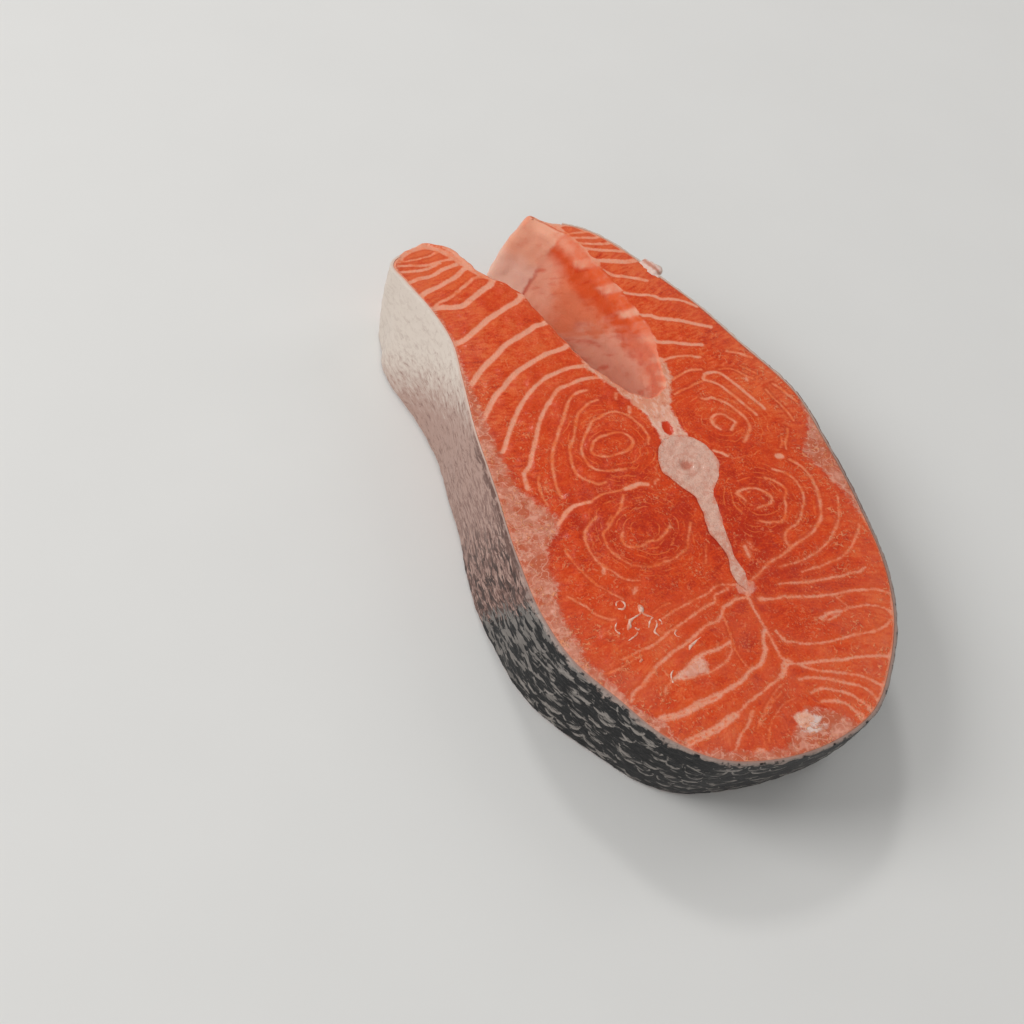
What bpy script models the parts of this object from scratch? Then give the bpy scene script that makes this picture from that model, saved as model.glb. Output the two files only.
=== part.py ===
"""A thick raw salmon steak, cut straight across the fish and lying on its lower cut face.

The two belly flaps reach along +Y on both sides of the open belly, and the back is at -Y. Three solids:
the flesh with its fat, the backbone that runs through it, and the strip of skin round its outside.
"""

import math

import bpy
import numpy as np
from mathutils.geometry import delaunay_2d_cdt

# Sizes in metres. The outline is drawn on the upper cut face, with x = y = 0 on the axis of the backbone.
THICKNESS = 0.026
SKIN_THICKNESS = 0.0011
PIECE_GAP = 0.0003
RIM_BEVEL = 0.0007
SKIN_BEVEL = 0.0003
WALL_SWELL = 0.0006
LOWER_SWELL_SHARE = 0.35
UPPER_SWELL_SHARE = 0.70

# How finely the faces are divided.
OUTLINE_STEP = 0.0030
FLAP_STEP = 0.0026
BONE_STEP = 0.0016
FACE_STEP = 0.0036
FACE_MARGIN = 0.0022
FILL_TOLERANCE = 1e-7

# The steak's outline on the upper cut face, as x and y. The skin line runs from the left flap's tip, down
# the left flank, round the back and up to the right flap's tip.
SKIN_LINE = (
    (-0.0542, 0.0860),
    (-0.0526, 0.0780),
    (-0.0494, 0.0670),
    (-0.0474, 0.0540),
    (-0.0487, 0.0400),
    (-0.0507, 0.0220),
    (-0.0515, 0.0030),
    (-0.0529, -0.0180),
    (-0.0528, -0.0360),
    (-0.0500, -0.0495),
    (-0.0436, -0.0618),
    (-0.0360, -0.0745),
    (-0.0268, -0.0820),
    (-0.0150, -0.0848),
    (0.0010, -0.0834),
    (0.0140, -0.0778),
    (0.0246, -0.0656),
    (0.0318, -0.0530),
    (0.0364, -0.0385),
    (0.0386, -0.0200),
    (0.0398, 0.0050),
    (0.0392, 0.0190),
    (0.0312, 0.0418),
    (0.0256, 0.0562),
    (0.0192, 0.0690),
    (0.0126, 0.0825),
    (0.0050, 0.0925),
    (-0.0010, 0.0970),
)
# The flap line goes on round the right tip, along the belly cavity to its end near the bone and back out.
FLAP_LINE = (
    (-0.0010, 0.0970),
    (-0.0060, 0.0994),
    (-0.0092, 0.1014),
    (-0.0106, 0.0996),
    (-0.0078, 0.0950),
    (-0.0030, 0.0870),
    (-0.0006, 0.0790),
    (0.0022, 0.0660),
    (0.0042, 0.0555),
    (0.0060, 0.0465),
    (0.0052, 0.0360),
    (0.0026, 0.0275),
    (-0.0012, 0.0250),
    (-0.0054, 0.0275),
    (-0.0092, 0.0330),
    (-0.0134, 0.0405),
    (-0.0170, 0.0500),
    (-0.0200, 0.0615),
    (-0.0232, 0.0705),
    (-0.0312, 0.0800),
    (-0.0338, 0.0872),
    (-0.0364, 0.0914),
    (-0.0412, 0.0940),
    (-0.0480, 0.0917),
    (-0.0526, 0.0886),
    (-0.0542, 0.0860),
)

# The cut isn't quite square to the fish, so the lower face lies askew under the upper one. Each row is a
# place x, y on the upper face and how far in x and y the lower face has moved from it there.
FACE_LEANS = (
    (-0.0540, 0.0880, 0.0000, 0.0000),
    (-0.0500, 0.0660, -0.0095, 0.0000),
    (-0.0485, 0.0540, -0.0085, 0.0000),
    (-0.0487, 0.0400, -0.0030, 0.0000),
    (-0.0510, 0.0200, -0.0032, 0.0000),
    (-0.0520, -0.0100, -0.0048, 0.0000),
    (-0.0528, -0.0360, -0.0028, 0.0010),
    (-0.0470, -0.0560, 0.0008, 0.0015),
    (-0.0370, -0.0730, 0.0010, 0.0055),
    (-0.0240, -0.0830, 0.0000, 0.0095),
    (-0.0050, -0.0845, 0.0000, 0.0098),
    (0.0140, -0.0780, -0.0010, 0.0070),
    (0.0330, -0.0500, -0.0025, 0.0020),
    (0.0395, 0.0000, -0.0025, 0.0000),
    (0.0310, 0.0420, -0.0028, 0.0010),
    (0.0180, 0.0700, -0.0040, 0.0020),
    (-0.0080, 0.1000, -0.0082, 0.0045),
    (-0.0030, 0.0870, -0.0062, 0.0025),
    (0.0030, 0.0600, -0.0016, 0.0000),
    (-0.0010, 0.0260, -0.0010, 0.0000),
    (-0.0170, 0.0500, -0.0034, 0.0000),
    (-0.0250, 0.0730, -0.0046, 0.0000),
    (-0.0360, 0.0910, -0.0012, 0.0000),
    (0.0000, 0.0000, -0.0030, 0.0026),
    (-0.0010, -0.0370, -0.0022, 0.0040),
)
LEAN_REACH = 0.0095

# The backbone: a vertebra, with the neural spine as a thin blade towards the back.
VERTEBRA_CENTRE = (-0.0004, 0.0003)
VERTEBRA_HALF_WIDTH = 0.0077
VERTEBRA_HALF_LENGTH = 0.0105
VERTEBRA_UPPER_ROUNDNESS = 2.1
VERTEBRA_LOWER_ROUNDNESS = 1.35
# Rows of y, centre line x and half width along the blade, from its root inside the vertebra to its tip.
SPINE_BLADE = (
    (-0.0040, -0.0004, 0.0010),
    (-0.0090, -0.0006, 0.0022),
    (-0.0140, -0.0008, 0.0021),
    (-0.0205, -0.0018, 0.0021),
    (-0.0280, -0.0016, 0.0009),
    (-0.0350, -0.0018, 0.0016),
    (-0.0392, -0.0016, 0.0004),
)
BLADE_BLEND = 3.0
MARROW_DIMPLE_DEPTH = 0.0007
MARROW_DIMPLE_RADIUS = 0.0018

# Soft rises and falls of the upper cut face, as x, y, radius and height.
FACE_SWELLS = (
    (-0.0180, 0.0110, 0.0130, 0.0007),
    (0.0150, 0.0130, 0.0120, 0.0007),
    (-0.0210, -0.0180, 0.0130, 0.0007),
    (0.0140, -0.0130, 0.0120, 0.0006),
    (-0.0330, 0.0500, 0.0120, 0.0005),
    (0.0140, 0.0560, 0.0110, 0.0005),
    (-0.0200, -0.0560, 0.0150, 0.0005),
    (0.0140, -0.0520, 0.0140, 0.0005),
    (-0.0480, -0.0080, 0.0110, -0.0006),
    (0.0370, 0.0020, 0.0090, -0.0006),
    (-0.0440, 0.0930, 0.0090, -0.0014),
    (-0.0060, 0.1000, 0.0080, -0.0012),
)

# Material colours as linear red, green and blue, with their roughness.
FLESH_FINISH = ((0.600, 0.085, 0.028), 0.38)
SKIN_FINISH = ((0.330, 0.290, 0.260), 0.42)
BONE_FINISH = ((0.640, 0.370, 0.290), 0.50)


def clear_scene():
    """Removes every object of the starting scene."""
    for old in list(bpy.data.objects):
        bpy.data.objects.remove(old, do_unlink=True)


def smooth_line(rows, step):
    """Rows about a step apart on a smooth curve through the given rows, both ends included."""
    rows = np.array(rows)
    chords = np.linalg.norm(np.diff(rows[:, :2], axis=0), axis=1)
    reach = np.concatenate([[0.0], np.cumsum(chords)])
    slopes = np.gradient(rows, reach, axis=0)
    wanted = np.linspace(0.0, reach[-1], round(reach[-1] / step) + 1)
    span = np.clip(np.searchsorted(reach, wanted, side="right") - 1, 0, len(rows) - 2)
    width = (reach[span + 1] - reach[span])[:, None]
    share = (wanted - reach[span])[:, None] / width
    before = rows[span] * (1 + 2 * share) + slopes[span] * width * share
    after = rows[span + 1] * (3 - 2 * share) + slopes[span + 1] * width * (share - 1)
    return before * (1 - share) ** 2 + after * share**2


def outward_normals(points):
    """Unit normals of a closed loop of x, y points that runs anticlockwise."""
    along = np.roll(points, -1, axis=0) - np.roll(points, 1, axis=0)
    along /= np.linalg.norm(along, axis=1)[:, None]
    return np.stack([along[:, 1], -along[:, 0]], axis=1)


def face_relief(x, y):
    """How far the upper cut face stands above or below its nominal height at x, y."""
    return sum(
        height * math.exp(-((x - cx) ** 2 + (y - cy) ** 2) / (2 * radius**2))
        for cx, cy, radius, height in FACE_SWELLS
    )


def lifted(x, y, z):
    """The point x, y, z with the relief of the upper face faded in over the thickness."""
    return (x, y, z + face_relief(x, y) * z / THICKNESS)


def wall_levels(bottom, top, bevel):
    """Heights up a wall, each with how far its bevelled rims pull it in there."""
    middle = top - bottom
    return (
        (bottom, bevel),
        (bottom + bevel, 0.0),
        (bottom + LOWER_SWELL_SHARE * middle, 0.0),
        (bottom + UPPER_SWELL_SHARE * middle, 0.0),
        (top - bevel, 0.0),
        (top, bevel),
    )


def leaned(points, height):
    """Points of the upper face's plan, moved to where they lie at the given height."""
    leans = np.array(FACE_LEANS)
    squared = ((points[:, None, :] - leans[None, :, :2]) ** 2).sum(axis=2)
    weights = np.exp(-squared / (2 * LEAN_REACH**2))
    shift = weights @ leans[:, 2:] / weights.sum(axis=1)[:, None]
    return points + shift * (1 - height / THICKNESS)


def wall_loop(points, normals, height, insets):
    """The outline at one height, with the lean and the swell of the wall, moved in by the insets."""
    spread = WALL_SWELL * math.sin(math.pi * height / THICKNESS) - insets
    return leaned(points, height) + normals * np.broadcast_to(spread, len(points))[:, None]


def inside(point, loop):
    """Whether an x, y point lies inside a closed loop."""
    x, y = point
    crossings = 0
    for (ax, ay), (bx, by) in zip(loop, np.roll(loop, -1, axis=0)):
        if (ay > y) != (by > y) and x < ax + (y - ay) * (bx - ax) / (by - ay):
            crossings += 1
    return crossings % 2 == 1


def grid_points(loop, hole):
    """A staggered grid of x, y points inside the loop and outside the hole, clear of both."""
    edges = np.concatenate([loop, hole]) if hole is not None else loop
    low, high = loop.min(axis=0), loop.max(axis=0)
    row_step = FACE_STEP * math.sqrt(3) / 2
    points = []
    for row in range(int((high[1] - low[1]) / row_step) + 1):
        y = low[1] + row * row_step
        for column in range(int((high[0] - low[0]) / FACE_STEP) + 1):
            x = low[0] + (column + 0.5 * (row % 2)) * FACE_STEP
            clear = np.hypot(edges[:, 0] - x, edges[:, 1] - y).min() > FACE_MARGIN
            if clear and inside((x, y), loop) and not (hole is not None and inside((x, y), hole)):
                points.append((x, y))
    return points


def fill(loop, hole, inner):
    """Triangles between a loop and an optional hole, through the inner points, as indices of all three."""
    count = len(loop)
    edges = [(i, (i + 1) % count) for i in range(count)]
    points = [tuple(p) for p in loop]
    if hole is not None:
        edges += [(count + i, count + (i + 1) % len(hole)) for i in range(len(hole))]
        points += [tuple(p) for p in hole]
    points += inner
    found = delaunay_2d_cdt(points, edges, [], 1, FILL_TOLERANCE)
    source = [ids[0] for ids in found[3]]
    faces = []
    for face in found[2]:
        corners = [source[i] for i in face]
        (ax, ay), (bx, by), (cx, cy) = (points[i] for i in corners)
        if hole is not None and inside(((ax + bx + cx) / 3, (ay + by + cy) / 3), hole):
            continue
        turn = (bx - ax) * (cy - ay) - (by - ay) * (cx - ax)
        faces.append(corners if turn > 0 else corners[::-1])
    return faces


class Shell:
    """The vertices and faces of one closed body while it is put together."""

    def __init__(self):
        self.points = []
        self.faces = []

    def add_loop(self, points):
        """Adds points and returns their indices."""
        first = len(self.points)
        self.points.extend(tuple(p) for p in points)
        return list(range(first, len(self.points)))

    def bridge(self, lower, upper, closed=True):
        """Joins two loops of indices with quads that face right of the way the loops run."""
        count = len(lower)
        for i in range(count if closed else count - 1):
            j = (i + 1) % count
            self.faces.append((lower[i], lower[j], upper[j], upper[i]))

    def cap(self, indices, faces, up):
        """Adds triangles, given as places in the list of indices, facing up or down."""
        for face in faces:
            corners = [indices[i] for i in face]
            self.faces.append(corners if up else corners[::-1])

    def to_object(self, name, finish, parent):
        """Makes the named object with its own material and hangs it under the parent."""
        mesh = bpy.data.meshes.new(name)
        mesh.from_pydata(self.points, [], self.faces)
        mesh.validate()
        mesh.shade_smooth()
        mesh.set_sharp_from_angle(angle=math.radians(32))
        mesh.materials.append(plain_material(name, *finish))
        piece = bpy.data.objects.new(name, mesh)
        piece.parent = parent
        bpy.context.scene.collection.objects.link(piece)
        return piece


def plain_material(name, colour, roughness):
    """A plain Principled material in the given colour."""
    material = bpy.data.materials.new(name)
    material.use_nodes = True
    shader = material.node_tree.nodes["Principled BSDF"]
    shader.inputs["Base Color"].default_value = (*colour, 1.0)
    shader.inputs["Roughness"].default_value = roughness
    shader.inputs["Metallic"].default_value = 0.0
    return material


def steak_outline():
    """Points of x, y round the whole steak, their normals, and how many of them the skin line has."""
    skin = smooth_line(SKIN_LINE, OUTLINE_STEP)
    flaps = smooth_line(FLAP_LINE, FLAP_STEP)[1:-1]
    points = np.concatenate([skin, flaps])
    return points, outward_normals(points), len(skin)


def vertebra_half_width(y):
    """Half the vertebra's width at y, and nothing beyond its ends."""
    share = min(abs(y - VERTEBRA_CENTRE[1]) / VERTEBRA_HALF_LENGTH, 1.0)
    upper = y > VERTEBRA_CENTRE[1]
    power = VERTEBRA_UPPER_ROUNDNESS if upper else VERTEBRA_LOWER_ROUNDNESS
    return VERTEBRA_HALF_WIDTH * (1 - share**power) ** (1 / power)


def bone_outline(growth):
    """The backbone's outline on the upper face, grown outwards by the given distance."""
    blade = smooth_line(SPINE_BLADE, BONE_STEP)
    blade_y, blade_x, blade_width = blade[::-1].T
    quarter_steps = round(math.pi / 2 * VERTEBRA_HALF_LENGTH / BONE_STEP)
    turns = [math.pi / 2 * step / quarter_steps for step in range(-quarter_steps, quarter_steps + 1)]
    body_y = [VERTEBRA_CENTRE[1] + VERTEBRA_HALF_LENGTH * math.sin(turn) for turn in turns]
    below = blade_y[blade_y < body_y[0] - BONE_STEP / 2]
    heights = np.concatenate([below, body_y])
    bodies = np.array([vertebra_half_width(y) for y in heights])
    widths = np.interp(heights, blade_y, blade_width, right=0.0)
    halves = (bodies**BLADE_BLEND + widths**BLADE_BLEND) ** (1 / BLADE_BLEND)
    middles = np.interp(heights, blade_y, blade_x, right=VERTEBRA_CENTRE[0])
    right = np.stack([middles + halves, heights], axis=1)
    left = np.stack([middles - halves, heights], axis=1)[:-1][::-1]
    loop = np.concatenate([right, left])
    return loop + outward_normals(loop) * growth


def make_flesh(parent):
    """The whole meat and fat, open where the backbone runs through it."""
    points, normals, skin_count = steak_outline()
    insets = np.zeros(len(points))
    insets[1 : skin_count - 1] = SKIN_THICKNESS + PIECE_GAP
    hole = bone_outline(PIECE_GAP)
    shell = Shell()
    loops = []
    for height, bevel in wall_levels(0.0, THICKNESS, RIM_BEVEL):
        level = wall_loop(points, normals, height, insets + bevel)
        loops.append((level, shell.add_loop(lifted(x, y, height) for x, y in level)))
    for (_, lower), (_, upper) in zip(loops, loops[1:]):
        shell.bridge(lower, upper)
    hole_top = shell.add_loop(lifted(x, y, THICKNESS) for x, y in hole)
    hole_bottom = shell.add_loop((x, y, 0.0) for x, y in leaned(hole, 0.0))
    shell.bridge(hole_top, hole_bottom)
    top_loop, top_indices = loops[-1]
    inner = grid_points(top_loop, hole)
    inner_indices = shell.add_loop(lifted(x, y, THICKNESS) for x, y in inner)
    shell.cap(top_indices + hole_top + inner_indices, fill(top_loop, hole, inner), up=True)
    low_loop, low_indices = loops[0]
    shell.cap(low_indices + hole_bottom, fill(low_loop, leaned(hole, 0.0), []), up=False)
    return shell.to_object("flesh", FLESH_FINISH, parent)


def make_skin(parent):
    """The strip of skin round the outside, from one flap's tip round the back to the other."""
    points, normals, skin_count = steak_outline()
    levels = wall_levels(SKIN_BEVEL, THICKNESS - SKIN_BEVEL, SKIN_BEVEL)
    shell = Shell()
    runs = []
    for height, bevel in levels:
        level = wall_loop(points, normals, height, bevel)[1 : skin_count - 1]
        runs.append(shell.add_loop(lifted(x, y, height) for x, y in level))
    for height, _ in reversed(levels):
        level = wall_loop(points, normals, height, SKIN_THICKNESS)[1 : skin_count - 1]
        runs.append(shell.add_loop(lifted(x, y, height) for x, y in level))
    for first, second in zip(runs, runs[1:] + runs[:1]):
        shell.bridge(first, second, closed=False)
    shell.faces.append([run[0] for run in runs])
    shell.faces.append([run[-1] for run in reversed(runs)])
    return shell.to_object("skin", SKIN_FINISH, parent)


def make_backbone(parent):
    """The vertebra with its neural spine, right through the steak, with the marrow's dimple on top."""
    loop = bone_outline(0.0)
    shell = Shell()
    top = shell.add_loop(lifted(x, y, THICKNESS) for x, y in loop)
    bottom = shell.add_loop((x, y, 0.0) for x, y in leaned(loop, 0.0))
    shell.bridge(bottom, top)
    inner = grid_points(loop, None)
    centre = np.array(VERTEBRA_CENTRE)
    heights = [
        THICKNESS
        - MARROW_DIMPLE_DEPTH * math.exp(-((np.hypot(*(p - centre)) / MARROW_DIMPLE_RADIUS) ** 2))
        for p in np.array(inner)
    ]
    inner_indices = shell.add_loop(lifted(x, y, z) for (x, y), z in zip(inner, heights))
    shell.cap(top + inner_indices, fill(loop, None, inner), up=True)
    shell.cap(bottom, fill(leaned(loop, 0.0), None, []), up=False)
    return shell.to_object("backbone", BONE_FINISH, parent)


def stand_on_origin(axis, pieces):
    """Moves the shared axis so that the middle of the steak's base is the world's origin."""
    points = np.array([corner.co for piece in pieces for corner in piece.data.vertices])
    middle = (points.min(axis=0) + points.max(axis=0)) / 2
    axis.location = (-middle[0], -middle[1], 0.0)


def main():
    """Builds the three pieces round the axis of the backbone."""
    clear_scene()
    axis = bpy.data.objects.new("backbone_axis", None)
    bpy.context.scene.collection.objects.link(axis)
    pieces = [make_flesh(axis), make_skin(axis), make_backbone(axis)]
    stand_on_origin(axis, pieces)


if __name__ == "__main__":
    main()
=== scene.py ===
"""The looks of a thick raw salmon steak, lying on its lower cut face.

Moist orange-red flesh with pale fat lines, a pink vertebra with its neural spine, and a strip of skin that
is pale at the belly and charcoal at the back. Plan sizes are in millimetres from the backbone's axis, as in
the part; meshes are made in metres in the row frame.
"""

import logging
import math
from collections.abc import Callable
from dataclasses import dataclass
from enum import Enum
from functools import partial

import bpy
import numpy as np
from mathutils import Matrix, Vector
from mathutils.geometry import delaunay_2d_cdt
from mathutils.kdtree import KDTree


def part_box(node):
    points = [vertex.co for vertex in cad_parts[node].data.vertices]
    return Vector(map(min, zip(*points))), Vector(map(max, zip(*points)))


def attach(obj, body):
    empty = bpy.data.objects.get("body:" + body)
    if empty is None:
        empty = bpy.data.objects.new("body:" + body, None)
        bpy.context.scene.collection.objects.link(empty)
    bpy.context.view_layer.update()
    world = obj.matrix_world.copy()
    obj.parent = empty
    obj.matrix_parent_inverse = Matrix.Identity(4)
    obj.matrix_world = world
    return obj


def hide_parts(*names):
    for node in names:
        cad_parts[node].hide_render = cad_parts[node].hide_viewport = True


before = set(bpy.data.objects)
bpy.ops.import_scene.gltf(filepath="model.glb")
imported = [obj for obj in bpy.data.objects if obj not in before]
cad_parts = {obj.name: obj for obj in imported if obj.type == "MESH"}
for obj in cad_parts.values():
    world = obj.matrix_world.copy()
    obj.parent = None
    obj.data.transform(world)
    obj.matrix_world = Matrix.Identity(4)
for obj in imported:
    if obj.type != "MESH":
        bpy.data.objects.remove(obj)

LOG = logging.getLogger("salmon_steak")
METRES = 0.001
# From the axis of the backbone to the row frame's origin, in millimetres.
ROW_SHIFT = np.array((9.114, -10.091))
THICKNESS = 26.0
# Length of the skin line round the steak.
SKIN_REACH = 410.0
# How far from its edge a patch's depth is still told apart.
PATCH_REACH = 4.0
# Distance between the rim's points that the fields are measured from, and between those along a fat line.
RIM_FIELD_STEP = 0.3
FAT_LINE_STEP = 0.6
# How much wider fat lines are than their bright core, and how far outside them their distance is kept.
FAT_SPREAD = 1.04
FAT_REACH = 1.6
# Height of a row of triangles, how far its points stray, how near they come to fixed points, and how near
# lines come to rims, all as shares of a side.
ROW_RISE = 0.866
STRAY = 0.16
GRID_CLEARANCE = 0.55
LINE_CLEARANCE = 0.6
# Points nearer together than this, in millimetres, are one.
SAME_POINT = 1e-6
Rows = tuple[tuple[float, ...], ...]
Number = float | int


class Node(Enum):
    """The CAD's nodes, by name."""

    FLESH = "flesh"
    SKIN = "skin"
    BACKBONE = "backbone"


class Face(Enum):
    """A cut face, by its height."""

    LOWER = 0.0
    UPPER = THICKNESS

    def outwards(self, faces: np.ndarray) -> list[list[int]]:
        """Triangles that face up, turned to face out of this face."""
        return (faces if self is Face.UPPER else faces[:, ::-1]).tolist()


# The outline on the upper cut face as x and y: the skin line runs from the left flap's tip down the left
# flank, round the back and up to the right flap's tip.
SKIN_LINE: Rows = (
    (-50.2, 90.5), (-52.7, 88.6), (-54.2, 86), (-52.6, 78), (-49.4, 67), (-47.4, 54), (-48.7, 40),
    (-50.7, 22), (-51.5, 3), (-52.9, -18), (-52.8, -36), (-50, -49.5), (-43.6, -61.8),
    (-36, -74.5), (-26.8, -82), (-15, -84.8), (1, -83.4), (14, -77.8), (24.6, -65.6),
    (31.8, -53), (36.4, -38.5), (38.6, -20), (39.8, 5), (39.2, 19), (31.2, 41.8), (25.6, 56.2),
    (19.2, 69), (12.6, 82.5), (5, 92.5), (-1, 97),
)  # fmt: skip
# The flap line goes on round the right tip, along the belly cavity to its end near the bone and back out.
FLAP_LINE: Rows = (
    (-1, 97), (-6, 99.4), (-9.2, 101.4), (-10.6, 99.6), (-7.8, 95), (-3, 87), (-0.6, 79),
    (2.2, 66), (4.2, 55.5), (6, 46.5), (5.2, 36), (2.6, 27.5), (-1.2, 25), (-5.4, 27.5),
    (-9.2, 33), (-13.4, 40.5), (-17, 50), (-20, 61.5), (-23.2, 70.5), (-31.2, 80),
    (-33.8, 87.2), (-36.4, 91.4), (-41.2, 94), (-48, 91.7), (-50.2, 90.5),
)  # fmt: skip
# Places x, y on the upper face and how far in x and y the lower face has moved from them there.
FACE_LEANS: Rows = (
    (-54, 88, 0, 0), (-50, 66, -9.5, 0), (-48.5, 54, -8.5, 0),
    (-48.7, 40, -3, 0), (-51, 20, -3.2, 0), (-52, -10, -4.8, 0),
    (-52.8, -36, -2.8, 1), (-47, -56, 0.8, 1.5), (-37, -73, 1, 5.5),
    (-24, -83, 0, 9.5), (-5, -84.5, 0, 9.8), (14, -78, -1, 7),
    (33, -50, -2.5, 2), (39.5, 0, -2.5, 0), (31, 42, -2.8, 1),
    (18, 70, -4, 2), (-8, 100, -8.2, 4.5), (-3, 87, -6.2, 2.5),
    (3, 60, -1.6, 0), (-1, 26, -1, 0), (-17, 50, -3.4, 0),
    (-25, 73, -4.6, 0), (-36, 91, -1.2, 0), (0, 0, -3, 2.6),
    (-1, -37, -2.2, 4),
)  # fmt: skip
# How far from its place a lean has its say, and how far the walls swell out halfway up.
LEAN_REACH = 9.5
WALL_SWELL = 0.6
# Soft rises and falls of the upper face as x, y, radius and height.
FACE_SWELLS: Rows = (
    (-18, 11, 13, 0.7), (15, 13, 12, 0.7), (-21, -18, 13, 0.7),
    (14, -13, 12, 0.6), (-33, 50, 12, 0.5), (14, 56, 11, 0.5),
    (-20, -56, 15, 0.5), (14, -52, 14, 0.5), (-48, -8, 11, -0.6),
    (37, 2, 9, -0.6), (-44, 93, 9, -1.4), (-6, 100, 8, -1.2),
)  # fmt: skip
# Rows of y, centre line x and half width along the spine's blade, from its root to its tip.
SPINE_BLADE: Rows = (
    (-4, -0.4, 1), (-9, -0.6, 2.2), (-14, -0.8, 2.1), (-20.5, -1.8, 2.1),
    (-28, -1.6, 0.9), (-35, -1.8, 1.6), (-39.2, -1.6, 0.4),
)  # fmt: skip


def smooth_line(rows: Rows | np.ndarray, step: float) -> np.ndarray:
    """Rows about a step apart on a smooth curve through the given rows.

    Args:
        rows: Points, with any further columns carried along.
        step: Wanted distance between the new points.

    Returns:
        The new rows, both ends included.
    """
    given = np.array(rows, dtype=float)
    chords = np.linalg.norm(np.diff(given[:, :2], axis=0), axis=1)
    reach = np.concatenate([[0.0], np.cumsum(chords)])
    count = max(2, round(reach[-1] / step) + 1)
    if len(given) == 2:
        return given[0] + (given[1] - given[0]) * np.linspace(0, 1, count)[:, None]
    slopes = np.gradient(given, reach, axis=0)
    wanted = np.linspace(0.0, reach[-1], count)
    span = np.clip(np.searchsorted(reach, wanted, side="right") - 1, 0, len(given) - 2)
    width = (reach[span + 1] - reach[span])[:, None]
    share = (wanted - reach[span])[:, None] / width
    before = given[span] * (1 + 2 * share) + slopes[span] * width * share
    after = given[span + 1] * (3 - 2 * share) + slopes[span + 1] * width * (share - 1)
    return before * (1 - share) ** 2 + after * share**2


def unit(rows: np.ndarray) -> np.ndarray:
    """Each row as a vector of length 1."""
    return rows / np.linalg.norm(rows, axis=1)[:, None]


def outward_normals(loop: np.ndarray) -> np.ndarray:
    """Unit normals of a closed loop of x, y points that runs anticlockwise."""
    along = unit(np.roll(loop, -1, axis=0) - np.roll(loop, 1, axis=0))
    return np.stack([along[:, 1], -along[:, 0]], axis=1)


def soft_step(low: float, high: float, value: float | np.ndarray) -> np.ndarray:
    """0 below low, 1 above high and an S between them."""
    share = np.clip((value - low) / (high - low), 0.0, 1.0)
    return share * share * (3 - 2 * share)


def inside(points: np.ndarray, loop: np.ndarray) -> np.ndarray:
    """Whether each x, y point lies inside a closed loop."""
    found = np.zeros(len(points), dtype=bool)
    for (ax, ay), (bx, by) in zip(loop, np.roll(loop, -1, axis=0)):
        if ay == by:
            continue
        crossed = (ay > points[:, 1]) != (by > points[:, 1])
        found ^= crossed & (points[:, 0] < ax + (points[:, 1] - ay) * (bx - ax) / (by - ay))
    return found


def line_distance(points: np.ndarray, line: np.ndarray) -> tuple[np.ndarray, np.ndarray]:
    """How far points lie from a line.

    Args:
        points: The x, y points.
        line: Rows of x, y along an open line.

    Returns:
        The distance of each point, and the place along the line nearest to it as a row number.
    """
    best = np.full(len(points), np.inf)
    place = np.zeros(len(points))
    for number, (start, end) in enumerate(zip(line[:-1], line[1:])):
        along = end - start
        share = np.clip(((points - start) @ along) / max(along @ along, 1e-12), 0.0, 1.0)
        away = np.linalg.norm(points - start - share[:, None] * along, axis=1)
        nearer = away < best
        best[nearer] = away[nearer]
        place[nearer] = (number + share)[nearer]
    return best, place


def tree_of(points: np.ndarray) -> KDTree:
    """A search tree of x, y points."""
    tree = KDTree(len(points))
    for number, (x, y) in enumerate(points.tolist()):
        tree.insert((x, y, 0.0), number)
    tree.balance()
    return tree


def distances(tree: KDTree, points: np.ndarray) -> np.ndarray:
    """How far each x, y point is from the nearest point of a tree."""
    return np.array([tree.find((x, y, 0.0))[2] for x, y in points.tolist()])


def soft_spots(points: np.ndarray, spots: Rows) -> np.ndarray:
    """The sum of soft round spots, given as x, y, radius and amount, at each x, y point."""
    table = np.array(spots)
    squared = ((points[:, None, :] - table[None, :, :2]) ** 2).sum(axis=2)
    return (np.exp(-squared / (2 * table[:, 2] ** 2)) * table[:, 3]).sum(axis=1)


class Ripple:
    """Smooth, repeatable unevenness made of waves that run in random directions."""

    def __init__(self, seed: int, shortest: float, longest: float, axes: int = 2, waves: int = 26) -> None:
        """Draws the waves.

        Args:
            seed: Start of the random numbers.
            shortest: Shortest wavelength in millimetres.
            longest: Longest wavelength in millimetres.
            axes: How many coordinates a point has.
            waves: How many waves are added up.
        """
        draw = np.random.default_rng(seed)
        directions = unit(draw.normal(size=(waves, axes)))
        lengths = np.exp(draw.uniform(math.log(shortest), math.log(longest), waves))
        self.waves = directions * (2 * math.pi / lengths)[:, None]
        self.phases = draw.uniform(0, 2 * math.pi, waves)
        self.heights = np.sqrt(lengths / longest)
        self.heights /= math.sqrt(0.5 * (self.heights**2).sum())

    def at(self, points: np.ndarray) -> np.ndarray:
        """The unevenness at each point, with a spread of about 1."""
        return np.cos(points @ self.waves.T + self.phases) @ self.heights


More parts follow.
